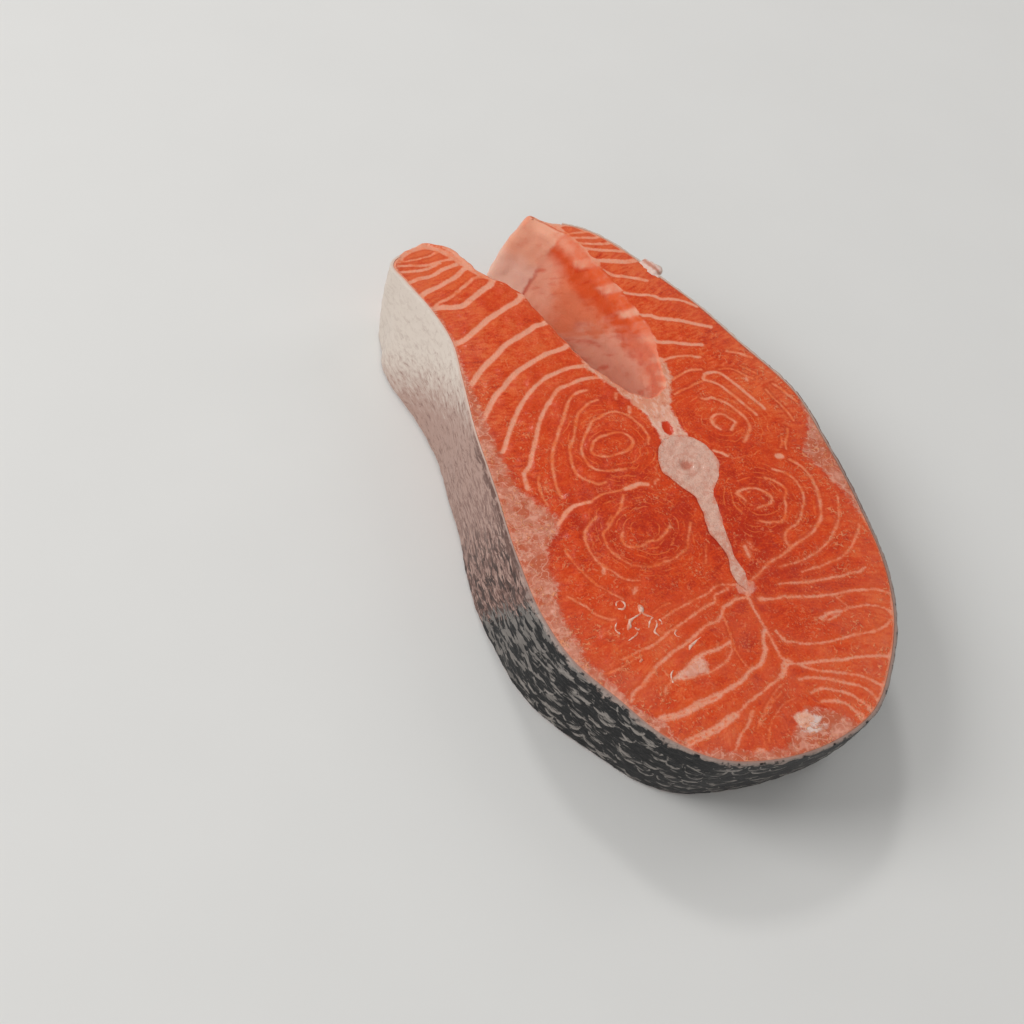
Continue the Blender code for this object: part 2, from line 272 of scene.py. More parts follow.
class Plan:
    """The steak's outline, lean and swells, as in the part."""

    def outline(self, step: float) -> tuple[np.ndarray, np.ndarray, int]:
        """Points round the steak, their outward normals, and how many of them the skin line has."""
        skin = smooth_line(SKIN_LINE, step)
        points = np.concatenate([skin, smooth_line(FLAP_LINE, step)[1:-1]])
        return points, outward_normals(points), len(skin)

    def leaned(self, points: np.ndarray, height: float | np.ndarray) -> np.ndarray:
        """Points of the upper plan, moved to where they lie at a height."""
        leans = np.array(FACE_LEANS)
        squared = ((points[:, None, :] - leans[None, :, :2]) ** 2).sum(axis=2)
        weights = np.exp(-squared / (2 * LEAN_REACH**2)) + 1e-12
        shift = weights @ leans[:, 2:] / weights.sum(axis=1)[:, None]
        return points + shift * (1 - np.asarray(height) / THICKNESS).reshape(-1, 1)

    def relief(self, points: np.ndarray) -> np.ndarray:
        """How far the upper face stands above its nominal height."""
        return soft_spots(points, FACE_SWELLS)

    def solid_points(
        self, points: np.ndarray, height: float | np.ndarray, sunk: float = 0.0
    ) -> np.ndarray:
        """Places points of the upper plan in the solid.

        Args:
            points: x, y on the upper face.
            height: Height above the lower face, one or one for each point.
            sunk: How far the upper face lies below the CAD's.

        Returns:
            Rows of x, y, z in millimetres.
        """
        heights = np.broadcast_to(np.asarray(height, dtype=float), len(points))
        level = self.leaned(points, heights)
        lift = (self.relief(level) - sunk) * heights / THICKNESS
        return np.column_stack([level, heights + lift])


PLAN = Plan()


@dataclass(frozen=True)
class FatLine:
    """A line of fat in the cut face.

    Attributes:
        width: Its width in millimetres.
        tone: How pale it is, 0 to 1.
        points: x and y along it, read off the photo.
        ends: How wide it is at its start and its end, as shares of the width.
    """

    width: float
    tone: float
    points: Rows
    ends: tuple[float, float] = (1.0, 1.0)

    def line(self) -> np.ndarray:
        """Smooth points along the line."""
        return smooth_line(self.points, FAT_LINE_STEP)


@dataclass(frozen=True)
class Patch:
    """An area of fat or pale tissue in the cut face.

    Attributes:
        points: x and y round it.
        tone: How strong it is, 0 to 1.
    """

    points: Rows
    tone: float = 1.0

    def depth(self, points: np.ndarray) -> np.ndarray:
        """How far each x, y point is inside the patch in millimetres, negative outside."""
        loop = np.array(self.points)
        away, _ = line_distance(points, np.vstack([loop, loop[:1]]))
        return np.clip(np.where(inside(points, loop), away, -away), -PATCH_REACH, PATCH_REACH)


# Fat lines between the flakes of muscle, from the left flap to the lower right.
FAT_LINES: tuple[FatLine, ...] = (
    FatLine(0.6, 0.6, ((-51.5, 87), (-47.5, 87.2), (-41, 89), (-39.5, 89.7))),
    FatLine(0.9, 0.75, ((-52, 85.1), (-48, 84.9), (-44.5, 84.6), (-38.5, 85.7), (-36.3, 85.5))),
    FatLine(1, 0.8, ((-52.3, 82.5), (-45, 82.7), (-42.7, 83.7), (-40.3, 84.8))),
    FatLine(1.3, 0.9, ((-51.3, 77.7), (-47.7, 79), (-45, 79.5), (-42.7, 80.5), (-40.7, 81.7), (-36, 83.3))),
    FatLine(1.5, 0.95, ((-49.7, 71.5), (-47.7, 73.2), (-45.7, 74), (-41.7, 76), (-37.7, 78.3),
        (-34.7, 81))),
    FatLine(0.9, 0.7, ((-47.3, 66.9), (-45.3, 68.7), (-43, 69.5), (-40.7, 70.8), (-39, 72.3), (-35.3, 75),
        (-33.7, 76.3), (-31, 76.7), (-29.7, 76.2))),
    FatLine(1.7, 1, ((-47.7, 66.3), (-45.3, 66.7), (-42.7, 66.2), (-40.3, 66.2), (-36.3, 68.7), (-32, 71.7),
        (-30, 73), (-28, 75.7))),
    FatLine(1.6, 1, ((-47.3, 52), (-42.7, 53.7), (-40, 55.7), (-37.3, 57.8), (-35, 59.7), (-32.3, 61.3),
        (-27.3, 64.3), (-25, 65.4), (-23, 67.3), (-22.2, 68.7))),
    FatLine(1.5, 1, ((-48, 35.3), (-46.7, 37), (-45, 38.7), (-43.3, 40.7), (-36, 47), (-32.3, 50.2),
        (-30, 51.3), (-25.3, 54), (-22.7, 55.5), (-20, 56.3), (-19.2, 57))),
    FatLine(1.4, 1, ((-46.4, 25.6), (-40, 33.7), (-38.3, 35), (-36.7, 36.7), (-32.7, 40), (-30, 41.5),
        (-22, 45.3), (-20, 45.8), (-18, 46.3), (-16.7, 47.3))),
    FatLine(1.1, 0.9, ((-45.1, 14.1), (-43.4, 16.7), (-40.1, 22.3), (-30, 34), (-26, 36.7), (-23.3, 37.7),
        (-20.7, 38.7), (-13.7, 39.3))),
    FatLine(1, 0.8, ((-42.7, 1.6), (-42.5, 4.1), (-42, 6.4), (-40.1, 8.2), (-38.6, 11.2), (-36.8, 14.5),
        (-30.9, 24.9), (-27.1, 29.3), (-24.9, 31.7), (-19.7, 33.6), (-16.8, 34.5), (-11.6, 34.5))),
    FatLine(0.5, 0.5, ((-39, 4.5), (-39.6, 2.7), (-39.9, -2.5), (-39.6, -4.4))),
    FatLine(0.7, 0.55, ((-35.5, -2.9), (-35.7, 0.4), (-35.3, 3.4), (-32, 13.4), (-30.5, 15.6), (-29, 18.2),
        (-27.5, 20.4), (-23.4, 27.1), (-22, 28.8), (-19.7, 30.1), (-17.1, 30.4))),
    FatLine(0.6, 0.5, ((-23.4, -0.7), (-25.3, -1), (-27.1, 0.3), (-28.8, 1.9), (-29.6, 6.7), (-29, 9.3),
        (-28.4, 11.9), (-26.8, 14.1), (-23.8, 20.1), (-22, 23), (-20.1, 24.5), (-17.9, 26), (-15.7, 26.6))),
    FatLine(0.6, 0.5, ((-17.1, 2.3), (-23.1, 3), (-24.9, 4.1), (-26, 8.6), (-25.3, 11.9), (-24.6, 13),
        (-23.1, 15.3), (-21.2, 17.5), (-19.4, 19.7), (-17.5, 20.4), (-13.8, 21.7), (-10.1, 20.1),
        (-8.6, 17.5), (-7.5, 14.1), (-7.3, 11.9), (-8.3, 9.3))),
    FatLine(0.65, 0.5, ((-21.8, 12.5), (-23.4, 9.3), (-22, 7.7), (-19.7, 7.1), (-17.5, 7.5), (-14.9, 7.9),
        (-12, 10.8), (-12.3, 13), (-13.8, 14.3), (-18.3, 14.1), (-20.1, 13.6), (-21.8, 12.5))),
    FatLine(1.1, 0.85, ((-13.4, -3.4), (-15.7, -2.8), (-17.5, -3.5), (-19.4, -3.8))),
    FatLine(0.5, 0.45, ((-19.4, -3.8), (-22.1, -4.1), (-24.9, -4.2), (-29.4, -5.9))),
    FatLine(1.1, 0.75, ((-29.4, -5.9), (-34.2, -6.4), (-35.7, -7.5), (-39.1, -10.7))),
    FatLine(0.7, 0.5, ((-25, -16.7), (-25.8, -18.5), (-25.8, -20.4), (-22.1, -21.7), (-19.5, -20.6),
        (-17.3, -20.7), (-15.8, -19.8), (-12.8, -17))),
    FatLine(0.6, 0.45, ((-20.6, -5.6), (-23.9, -10.7), (-25.8, -12.3), (-27.3, -14.3), (-29.5, -15.9),
        (-30, -17.8), (-29.3, -22.6), (-28, -24.6), (-26.5, -26.3), (-22.1, -27.9), (-19.5, -27.5),
        (-15, -26.5), (-13.2, -25.4), (-11.5, -24.8), (-10.2, -22.2), (-7.3, -17))),
    FatLine(0.4, 0.45, ((-25.8, -11.1), (-26.7, -12.2), (-28, -13.7))),
    FatLine(0.7, 0.5, ((-29.5, -10.7), (-33.7, -14.6), (-34.7, -19.3), (-34.3, -21.9), (-33.7, -24.1),
        (-32.4, -25.9), (-31.1, -27.8), (-30, -29.6), (-28.4, -30.6), (-26.1, -31.1))),
    FatLine(0.6, 0.45, ((-40, -18.5), (-39.9, -20.7), (-39.3, -23.3), (-36.5, -30), (-35, -31.9),
        (-33.6, -33.7), (-31.7, -35.6))),
    FatLine(0.7, 0.55, ((-44.3, -31.9), (-42.8, -33.7), (-41.1, -35.6), (-39.9, -37.8), (-38, -39.6),
        (-35.8, -40.6))),
    FatLine(0.4, 0.35, ((-6.1, -24.1), (-7.3, -26.7), (-8.4, -29.6))),
    FatLine(0.7, 0.6, ((-3.5, -36.9), (-5.6, -36.6), (-7.4, -36.3), (-9.3, -36.8), (-11.5, -38.1),
        (-14.8, -39), (-17.4, -40), (-20.4, -40.9), (-24.8, -42.7))),
    FatLine(0.4, 0.4, ((-21.5, -39), (-24.1, -39.6), (-26.3, -40.7))),
    FatLine(0.8, 0.65, ((-6.3, -37.7), (-8.5, -38.5), (-10.2, -39), (-10.7, -40.7), (-13, -41.4),
        (-15.6, -42.6), (-20.4, -44.8), (-22.6, -45.9), (-24.4, -46.6), (-31.5, -50), (-34.1, -50.3),
        (-35.9, -51.1), (-37.6, -51.4))),
    FatLine(1, 0.75, ((-2.6, -40.9), (-5.6, -41.1), (-7.4, -42), (-9.6, -42.9), (-10.7, -44.6),
        (-12.2, -45.9), (-14.8, -46.6), (-21.9, -50.5), (-25.9, -52.2), (-27.8, -53.3), (-30, -54.4),
        (-32.2, -56.1), (-34.1, -57.6), (-35.6, -59), (-37.8, -60), (-39.3, -61.3), (-40, -62.7))),
    FatLine(0.6, 0.5, ((-44.4, -54.2), (-42.6, -54.4), (-37.8, -53.1), (-33.3, -51.3))),
    FatLine(1, 0.9, ((-11.9, -52.4), (-14.4, -53.3), (-17.4, -53.9), (-19.6, -54.2), (-21.9, -55.3),
        (-26.3, -58.1), (-28.9, -59.4))),
    FatLine(0.7, 0.75, ((-11.9, -52.4), (-12.2, -54.2), (-17.4, -58.5), (-23.3, -59.6), (-28.9, -59.6))),
    FatLine(0.6, 0.55, ((-28.9, -59.6), (-30, -60.1), (-31.5, -61.6), (-32.2, -63.1))),
    FatLine(1.1, 0.95, ((-2.6, -50.9), (-3.7, -53.1), (-4.4, -55.7), (-7.4, -59.6), (-10.7, -61),
        (-12.3, -62.3), (-19.9, -65.3))),
    FatLine(1.9, 1, ((-19.9, -65.3), (-22.6, -66.1), (-25.4, -66.7), (-28.1, -67.7), (-32.6, -68.4),
        (-35, -68.2))),
    FatLine(0.8, 0.8, ((-3.7, -63.6), (-5, -64.4), (-7.4, -65.4), (-12.4, -67.9), (-14.7, -68.9),
        (-16.4, -70.1), (-18.5, -71.1))),
    FatLine(2, 0.95, ((-18.5, -71.1), (-24.7, -73.7), (-30.2, -75.1), (-32.6, -75.8))),
    FatLine(0.8, 0.75, ((-14.3, -71.1), (-17.1, -74.6), (-19.2, -76.3), (-21.9, -79.6))),
    FatLine(0.45, 0.5, ((-3.3, -69.9), (-6.1, -70.6), (-8.1, -72), (-12.6, -76.8), (-13.7, -79.2))),
    FatLine(0.45, 0.5, ((-5.7, -67.9), (-7.8, -69.2), (-10.2, -71.3), (-13, -73.4), (-14.7, -75.4))),
    FatLine(0.45, 0.5, ((-4.3, -65.8), (-6.8, -67.2), (-9.5, -69.6), (-14, -74.1))),
    FatLine(0.5, 0.4, ((-10, -43), (-11.1, -51.3), (-11.5, -55), (-10.4, -60.7))),
    FatLine(0.8, 0.8, ((-2.2, -38), (-2.4, -43.4), (-2, -52.3), (-1.9, -55.9), (-1.7, -59), (-0.8, -60.5))),
    FatLine(1.5, 0.85, ((-0.9, -60.4), (-1.9, -61.2), (-2.9, -63), (-3.7, -63.6))),
    FatLine(0.7, 0.7, ((-3.3, 91), (3.3, 90.7), (5, 90.7))),
    FatLine(0.9, 0.8, ((-2.8, 89.8), (-1.3, 89.2), (3.3, 88.2), (5.3, 87.8), (7, 88))),
    FatLine(0.9, 0.8, ((-2.3, 87.5), (-0.3, 87), (1.7, 86), (7.3, 84.8), (9.7, 84.7))),
    FatLine(1, 0.9, ((-1.5, 85.7), (2.7, 83.2), (5, 82.6), (13, 80.5))),
    FatLine(1.6, 0.95, ((-1.3, 78.7), (1, 78.3), (4, 78.2), (6.7, 77.5), (11.3, 76.5), (15.7, 76.7))),
    FatLine(1.1, 0.9, ((1.3, 76.7), (5.3, 71.8), (9.7, 70), (13.8, 68))),
    FatLine(1, 1, ((2.3, 66.7), (3.7, 65.3), (5.7, 64.3), (7.3, 63.5), (11.3, 62.3), (13, 61.8),
        (14.3, 60.8), (14.7, 60.2), (16.7, 59.8), (21, 58.3), (24, 55.7))),
    FatLine(1.2, 1, ((3.7, 56.7), (5.7, 55.2), (7.7, 54.7), (10, 54.2), (11.3, 53), (13.3, 52.3),
        (18, 50.7), (22, 48.7), (24.7, 47.5))),
    FatLine(1.1, 0.95, ((6, 46.7), (7.7, 44.5), (12.3, 43.5), (14.3, 42.7), (19.7, 41.3))),
    FatLine(0.7, 0.7, ((5.5, 37.7), (7.7, 37.8), (10, 38.2), (14.7, 37.8), (17.3, 37))),
    FatLine(0.6, 0.5, ((6.7, 30), (8.7, 31.2), (13.3, 32.7), (15.7, 32.3))),
    FatLine(0.9, 0.8, ((15, 29), (15.7, 30.2), (19.7, 30.7), (22.1, 27.2), (25.2, 20), (26.4, 17.6),
        (26.9, 15.9))),
    FatLine(0.8, 0.65, ((15.2, 28.6), (16.9, 27.6), (18.3, 26.2), (19.3, 24.1), (23.8, 14.1))),
    FatLine(0.7, 0.6, ((11.4, 22.2), (12.8, 21.7), (14.3, 22), (15.5, 21), (17.2, 19.7), (18.4, 17.9),
        (20.3, 10.7), (17.9, 6.9), (16.6, 5.5))),
    FatLine(0.7, 0.65, ((12.2, 10.7), (11.4, 11.7), (11, 13.8), (11.7, 15.2), (13.4, 15.9), (15.2, 15.2),
        (16.2, 13.8), (16.9, 12.8), (14.8, 10))),
    FatLine(0.5, 0.45, ((5.2, 25), (7.6, 26), (10, 26.6), (12.1, 27.6), (14.5, 28.4))),
    FatLine(0.5, 0.45, ((20.7, 31.7), (22.4, 31.7), (24.8, 30.7), (26.6, 28.6), (28.3, 26.9))),
    FatLine(0.8, 0.7, ((25.5, 37.9), (27.6, 37.2), (31.4, 34.5))),
    FatLine(0.5, 0.45, ((26.9, 32.1), (28.6, 30.7), (30, 28.6))),
    FatLine(0.6, 0.55, ((33.1, 24.3), (34.5, 22.4), (35.5, 20), (36.9, 16.9))),
    FatLine(0.5, 0.45, ((30.3, 22.4), (31, 19.3), (32.1, 16.6), (33.3, 11))),
    FatLine(0.5, 0.5, ((30.3, 8.3), (29.3, 6.2), (27.6, 3.8), (26.9, 1.7))),
    FatLine(0.4, 0.45, ((27.2, 5.9), (26.6, 3.8), (25.5, 2.4))),
    FatLine(0.7, 0.85, ((7.6, 4.1), (9, 3.1), (10.3, 1.6))),
    FatLine(0.7, 0.6, ((9, -13.1), (8.3, -11.7), (7.6, -10.3), (8.3, -10), (10.3, -9.4), (13.8, -10.2),
        (15.9, -13.6), (14.8, -15.2), (13.1, -15.5), (11, -16))),
    FatLine(0.6, 0.5, ((16.9, -6.9), (18.6, -8.1), (20.7, -11.7), (19, -14.5), (18.6, -16.2), (17.6, -18.3),
        (16.6, -20), (14.8, -21), (13.1, -20.7), (11.4, -20.7), (10, -19.8))),
    FatLine(0.7, 0.6, ((20.3, -4.5), (23.4, -6.6), (23.8, -15.9), (22.4, -17.9), (21, -20.3), (19.3, -22.1),
        (15.5, -24), (14.1, -25.5), (13.8, -27.2), (14, -28.8))),
    FatLine(0.8, 0.6, ((26.2, -2.1), (27.9, -4.1), (29, -6.9), (29.1, -10.3), (26.9, -19.3), (25.5, -22.1),
        (23.8, -23.8), (22.1, -25.3), (14.1, -29.1), (11.4, -30.7), (6.6, -32.6), (2.4, -35.5),
        (0.3, -36.6))),
    FatLine(0.7, 0.6, ((33.1, -16.2), (30.7, -22.1), (27.6, -26), (23.8, -29.5), (21.7, -30.7),
        (20.3, -31.6), (17.9, -32.4), (15.2, -33.3), (9, -34.1))),
    FatLine(0.7, 0.65, ((34.8, -25.5), (33.4, -27.6), (31.7, -29.3), (28.3, -32.6), (24.1, -34.8),
        (21.7, -35.2), (19.3, -35.9), (16.6, -36.2), (13.8, -36.6))),
    FatLine(0.8, 0.75, ((30, -38.3), (27.6, -39.3), (25.9, -39.1), (23.8, -39.7), (21.4, -39.7),
        (13.1, -39.7), (6.9, -38.8))),
    FatLine(0.85, 0.8, ((0.6, -42.1), (3.5, -42.8), (6.4, -42.8), (9.2, -43.4), (18.1, -44.6),
        (23.9, -44.3), (26.7, -44.7), (29.6, -45.1), (32.1, -46.8))),
    FatLine(0.5, 0.6, ((18.7, -45.5), (19.4, -46.8), (20.3, -48.4))),
    FatLine(1.1, 0.9, ((12.3, -50.5), (13.9, -49.8), (18.1, -49.5))),
    FatLine(0.7, 0.75, ((18.1, -49.5), (21, -49.1), (26.4, -49.4), (29.6, -51.4), (29.9, -52.6))),
    FatLine(0.6, 0.8, ((12.3, -50.5), (13.9, -51.3), (15.6, -50.9), (17.4, -50.3))),
    FatLine(0.8, 0.75, ((0.1, -51.6), (1.4, -55), (3.1, -55.5), (4.9, -56.4), (7.4, -56.9), (18.9, -56.6),
        (24.6, -56.3), (28.9, -54.4), (29.9, -53.4))),
    FatLine(0.95, 0.9, ((-0.8, -60.7), (1.4, -61.4), (4.2, -61.6), (13.1, -62.5), (16, -62.6),
        (21.7, -63.3), (23.9, -63.6), (24.9, -63))),
    FatLine(0.8, 0.8, ((1.4, -61.8), (3.5, -63), (5.6, -64.3), (8.1, -65), (12.4, -66.6), (14.6, -67.6),
        (18.5, -71))),
    FatLine(0.9, 0.8, ((-0.1, -65.3), (2.1, -65.3), (4.6, -66), (11.4, -69.1), (13.1, -70), (15.3, -73.2),
        (15.5, -74.8))),
    FatLine(0.9, 0.8, ((1.4, -69.3), (3.1, -68.8), (7.8, -70.3), (9.8, -71.4), (12.1, -74.8),
        (12.8, -76.6))),
    FatLine(1, 0.85, ((2.6, -71.8), (7.4, -73.4), (9.8, -77.6))),
)  # fmt: skip
# Pale rims and blobs: the flaps' edges, the ends of fat lines on the ridges, and spots of fat.
PALE_MARKS: tuple[FatLine, ...] = (
    FatLine(4.2, 0.9, ((-54.6, 84.5), (-53.6, 88), (-49.5, 91.4), (-45, 93.4), (-41.2, 94.2), (-38, 93),
        (-33.6, 86), (-32, 81)), (0.6, 0.6)),
    FatLine(1.6, 0.8, ((-32, 81), (-28.2, 76.6), (-23.2, 70.5), (-20, 61.5), (-17, 50), (-13.4, 40.5),
        (-9.2, 33), (-5.4, 27.5))),
    FatLine(2.6, 0.9, ((-13.6, 40.6), (-13, 40.4))),
    FatLine(2.4, 0.9, ((-10.6, 35), (-10, 34.6))),
    FatLine(2.4, 0.8, ((-28.4, 75.4), (-27.6, 76.4))),
    FatLine(2, 0.8, ((-22.4, 68.4), (-21.4, 69.6))),
    FatLine(3, 0.85, ((-5, 98.9), (-1, 97.2), (5, 92.7), (12.6, 82.7), (19.2, 69.2),
        (25.6, 56.4)), (1.2, 0.6)),
    FatLine(1.9, 0.8, ((-6.6, 99.4), (-3.9, 95.4), (-0.9, 86.2), (0.5, 81.2), (1.8, 77.5)), (1.3, 0.7)),
    FatLine(2.8, 0.7, ((-6.5, 98.6), (-3.5, 96.6), (-0.6, 95.2)), (1, 0.5)),
    FatLine(2.3, 0.8, ((-51.3, 87), (-49.6, 89.4), (-41.2, 91.9), (-39.2, 90.4), (-33, 80.9),
        (-30.8, 77.6)), (0.6, 0.8)),
    FatLine(1.3, 0.7, ((25.6, 56.4), (35.4, 30.6), (39.4, 19)), (1, 1.4)),
    FatLine(1.6, 0.85, ((-10.4, 100.6), (-7.8, 95), (-3, 87), (-0.6, 79), (4.2, 55.5), (6, 46.5), (5.2, 36),
        (3.4, 29.5))),
    FatLine(3.4, 0.9, ((0.9, 77.9), (1.8, 77.5))),
    FatLine(3, 0.9, ((2.2, 66.9), (3, 66.3))),
    FatLine(3, 0.9, ((3.8, 56.7), (4.6, 55.9))),
    FatLine(2.2, 0.9, ((5.8, 46.5), (6.8, 45.6))),
    FatLine(2.2, 0.9, ((5.2, 37.7), (6.2, 37.7))),
    FatLine(1.8, 0.8, ((5.2, 33), (6, 32.8))),
    FatLine(2.2, 0.8, ((3.4, 28.7), (4.2, 28.9))),
    FatLine(1.4, 0.9, ((-7, 29.6), (-5.6, 27.9), (-4.4, 26.3))),
    FatLine(1.4, 0.85, ((-43.3, -2.4), (-43.1, -5.2))),
    FatLine(0.9, 0.8, ((-33, -25.7), (-33.6, -27.4))),
    FatLine(0.9, 0.85, ((-27.6, -33), (-28.7, -34.4))),
    FatLine(1.8, 0.9, ((23.6, -0.4), (24.2, -0.5))),
    FatLine(0.9, 0.8, ((26.6, 27.1), (26.6, 26.6))),
    FatLine(1.6, 0.8, ((0.5, -42.1), (1, -42.2))),
    FatLine(2, 0.9, ((-1, -60.4), (-0.6, -60.4))),
    FatLine(1.4, 0.9, ((3.1, -26.5), (2.8, -29.7)), (0.6, 0.5)),
    FatLine(0.7, 0.7, ((4.5, -25.3), (4.4, -27.5))),
    FatLine(0.8, 0.8, ((-8.3, 22.7), (-9, 20.8))),
    FatLine(0.7, 0.7, ((-10.1, 27.9), (-10.8, 26))),
    FatLine(0.6, 0.7, ((-11.5, -3.9), (-11.3, -2.8), (-10.2, -2.4))),
    FatLine(1.4, 0.9, ((12.7, -76.2), (12.9, -76.9))),
    FatLine(1.6, 0.9, ((9.7, -77), (9.9, -77.9))),
    FatLine(2.4, 0.9, ((-16.6, -81.4), (-16.6, -82.6))),
    FatLine(1.2, 0.9, ((-21.6, -80.8), (-21.5, -81.4))),
    FatLine(1.3, 0.85, ((38.9, -11.4), (37.4, -20), (36.7, -32.8), (35.9, -36.6), (35.6, -39.8),
        (34.6, -44.1), (32.8, -47.6), (28.1, -58.7), (25.6, -62.3), (20.6, -69.4), (18.1, -72.3),
        (13.5, -77.6), (10.3, -79.4), (6.7, -80.5))),
    FatLine(0.7, 0.75, ((33.5, 3), (34.1, -4), (34.5, -11))),
    FatLine(2.4, 0.95, ((38.8, -11), (39, -12))),
)  # fmt: skip
# The duller fat under the skin: the left border, the right pocket and the root of the back fin.
BORDER_FAT: tuple[Patch, ...] = (
    Patch(((-52.3, 86), (-52.3, 80), (-48, 68), (-46.5, 60), (-46, 54), (-46.3, 36), (-46, 25),
        (-46.2, 17.5), (-45.5, 3.8), (-44.2, 0.8), (-42.7, -1.4), (-41.6, -4), (-39.7, -5.5), (-38.8, -8.5),
        (-39.1, -11.5), (-43.6, -17), (-45.8, -23), (-45.4, -27.4), (-46.5, -31), (-47.4, -38.7),
        (-46.5, -41.6), (-45.6, -51.3), (-44.1, -53.5), (-42.6, -57.6), (-41.1, -60.1), (-40.2, -63.4),
        (-37.1, -67.2), (-35, -69.2), (-34.3, -72.7), (-33.3, -74.8), (-29.2, -78.4), (-26.1, -78.4),
        (-23.3, -79.6), (-19.9, -80.3), (-17.8, -81.3), (-11.2, -81.7), (-11, -90), (-62, -90), (-62, 86))),
    Patch(((39.6, 18.6), (37.2, 16.2), (37.6, 12.8), (37.2, 10.3), (36.2, 7.9), (33.1, 3.8), (32.4, 1.7),
        (31, 0.7), (31.4, -2.4), (33.1, -5.5), (34.8, -13.1), (35.9, -14.8), (36.2, -21.4), (39, -24),
        (46, -22), (46, 16))),
    Patch(((-10.9, -82), (-9.5, -80.3), (-7.4, -78.6), (-2, -73), (1, -73.6), (4, -75), (7, -78),
        (9, -80.6), (9, -88), (-10.9, -88))),
)  # fmt: skip
# Pale tissue: from the vertebra up both sides of the cavity's end, and in the spine's fold.
PALE_TISSUE: tuple[Patch, ...] = (
    Patch(((-4.5, 7), (-4.4, 12), (-4.9, 18), (-6.2, 22), (-8.4, 27), (-14.6, 39), (-12.6, 40),
        (-8.6, 33), (-4.6, 27.6), (-1, 25.2), (2.8, 27.6), (4.8, 32), (5, 37), (7.4, 37), (6.8, 31),
        (4.2, 25.4), (2.2, 20), (2.2, 14), (3.4, 7))),
    Patch(((-20, -54.6), (-28.6, -59.2), (-25, -59.6), (-20.6, -59.3), (-19.4, -57)), 0.75),
    Patch(((-3.5, -73.2), (-1.6, -74), (-1.3, -76.2), (-3, -77.4), (-5.2, -76.6), (-5.5, -74.4))),
    Patch(((-2.4, -36), (-4.2, -37.4), (-3.6, -39.6), (-1.6, -40.6), (0.4, -39.2), (0.6, -37)), 0.5),
)  # fmt: skip
# Where the muscle is paler (+) or deeper (-) than its middle tone, as x, y, radius and amount.
TONE_SPOTS: Rows = (
    (-40, 62, 16, 0.25), (-44, 86, 9, 0.85), (-36, 30, 14, 0.15), (-17, 11, 12, -0.15), (-20, -18, 12, -0.5),
    (-40, -14, 8, -0.3), (-30, -45, 13, 0.2), (-22, -64, 10, 0.1), (-12, -50, 8, -0.15), (-8, -68, 7, -0.25),
    (15, 13, 10, 0.05), (31, 22, 9, 0.6), (12, -14, 11, -0.5), (30, -14, 8, 0.25), (8, -52, 11, -0.4),
    (24, -56, 11, 0.45), (8, -68, 10, 0.35), (13, 48, 10, 0.25), (9, 72, 10, 0.4), (0, 92, 9, 0.7),
    (7, 3, 6, -0.12), (6, -30, 8, -0.25), (16, -41, 6, -0.4),
)  # fmt: skip
# Middles of the four whorls of muscle.
WHORLS: Rows = ((-17.5, 10.8), (13.8, 13), (-19.5, -17.5), (12.6, -13.2))
# The blood over the vertebra as x, y and half sizes, and the back fin's root as x, y, half length and squash.
BLOOD_HOLE = (-1.3, 13.8, 1.6, 2.9)
FIN_ROOT = (-2.5, -76.5, 4.5, 1.2)
# Threads and drops of glaze on the cut face, as x, y and radius along each.
GLAZE_THREADS: tuple[Rows, ...] = (
    ((-28.7, -38.4, 0.7), (-28.8, -39.3, 0.75), (-29.3, -40.3, 0.28), (-30.7, -40.9, 0.25),
        (-31.6, -41.3, 0.3), (-32.2, -41.7, 0.55), (-32.8, -42.4, 0.35), (-33.1, -43.1, 0.6),
        (-33.7, -43.9, 0.25)),
    ((-34.8, -41.3, 0.2), (-35.6, -41.6, 0.22), (-36.1, -42.2, 0.22), (-36.6, -43.5, 0.22),
        (-36.1, -44.6, 0.3)),
    ((-29, -39.8, 0.28), (-28.6, -40.6, 0.25), (-27.9, -41.3, 0.3), (-27.2, -41.7, 0.2)),
    ((-31.9, -45.3, 0.28), (-32.5, -45.9, 0.22), (-33.3, -46.3, 0.2), (-34.8, -47, 0.15)),
    ((-31.9, -44, 0.3), (-31.5, -44.6, 0.35), (-31, -44.4, 0.2)),
    ((-27, -42, 0.3), (-27.7, -42.6, 0.2), (-28.1, -43.1, 0.3), (-28.6, -43.9, 0.2), (-28.9, -44.6, 0.3)),
    ((-26.5, -43.1, 0.25), (-26.6, -43.9, 0.2), (-27, -44.6, 0.25), (-27.6, -45.3, 0.2), (-28, -45.9, 0.3),
        (-27.4, -47.2, 0.15)),
    ((-25.6, -42.9, 0.3), (-25.4, -43.6, 0.2), (-25.6, -44.4, 0.3)),
    ((-34.1, -37, 0.12), (-33.6, -36.1, 0.3), (-32.6, -35.9, 0.22), (-32.1, -36.4, 0.34), (-32, -37.4, 0.2),
        (-32.9, -38.2, 0.32), (-33.8, -37.9, 0.16)),
    ((-22.9, -46.6, 0.3), (-23.6, -47.4, 0.2), (-23.4, -48.4, 0.25), (-22.3, -48.4, 0.15)),
    ((-18, -49.7, 0.2), (-19.2, -50.3, 0.28), (-20.2, -50.9, 0.35), (-21.4, -51.6, 0.4), (-22, -52.4, 0.2)),
    ((-27.8, -57, 0.18), (-28.5, -57.7, 0.2), (-28.9, -58.8, 0.16), (-29, -60, 0.2)),
    ((-33.6, -52.6, 0.3), (-34.2, -53, 0.35)),
)  # fmt: skip


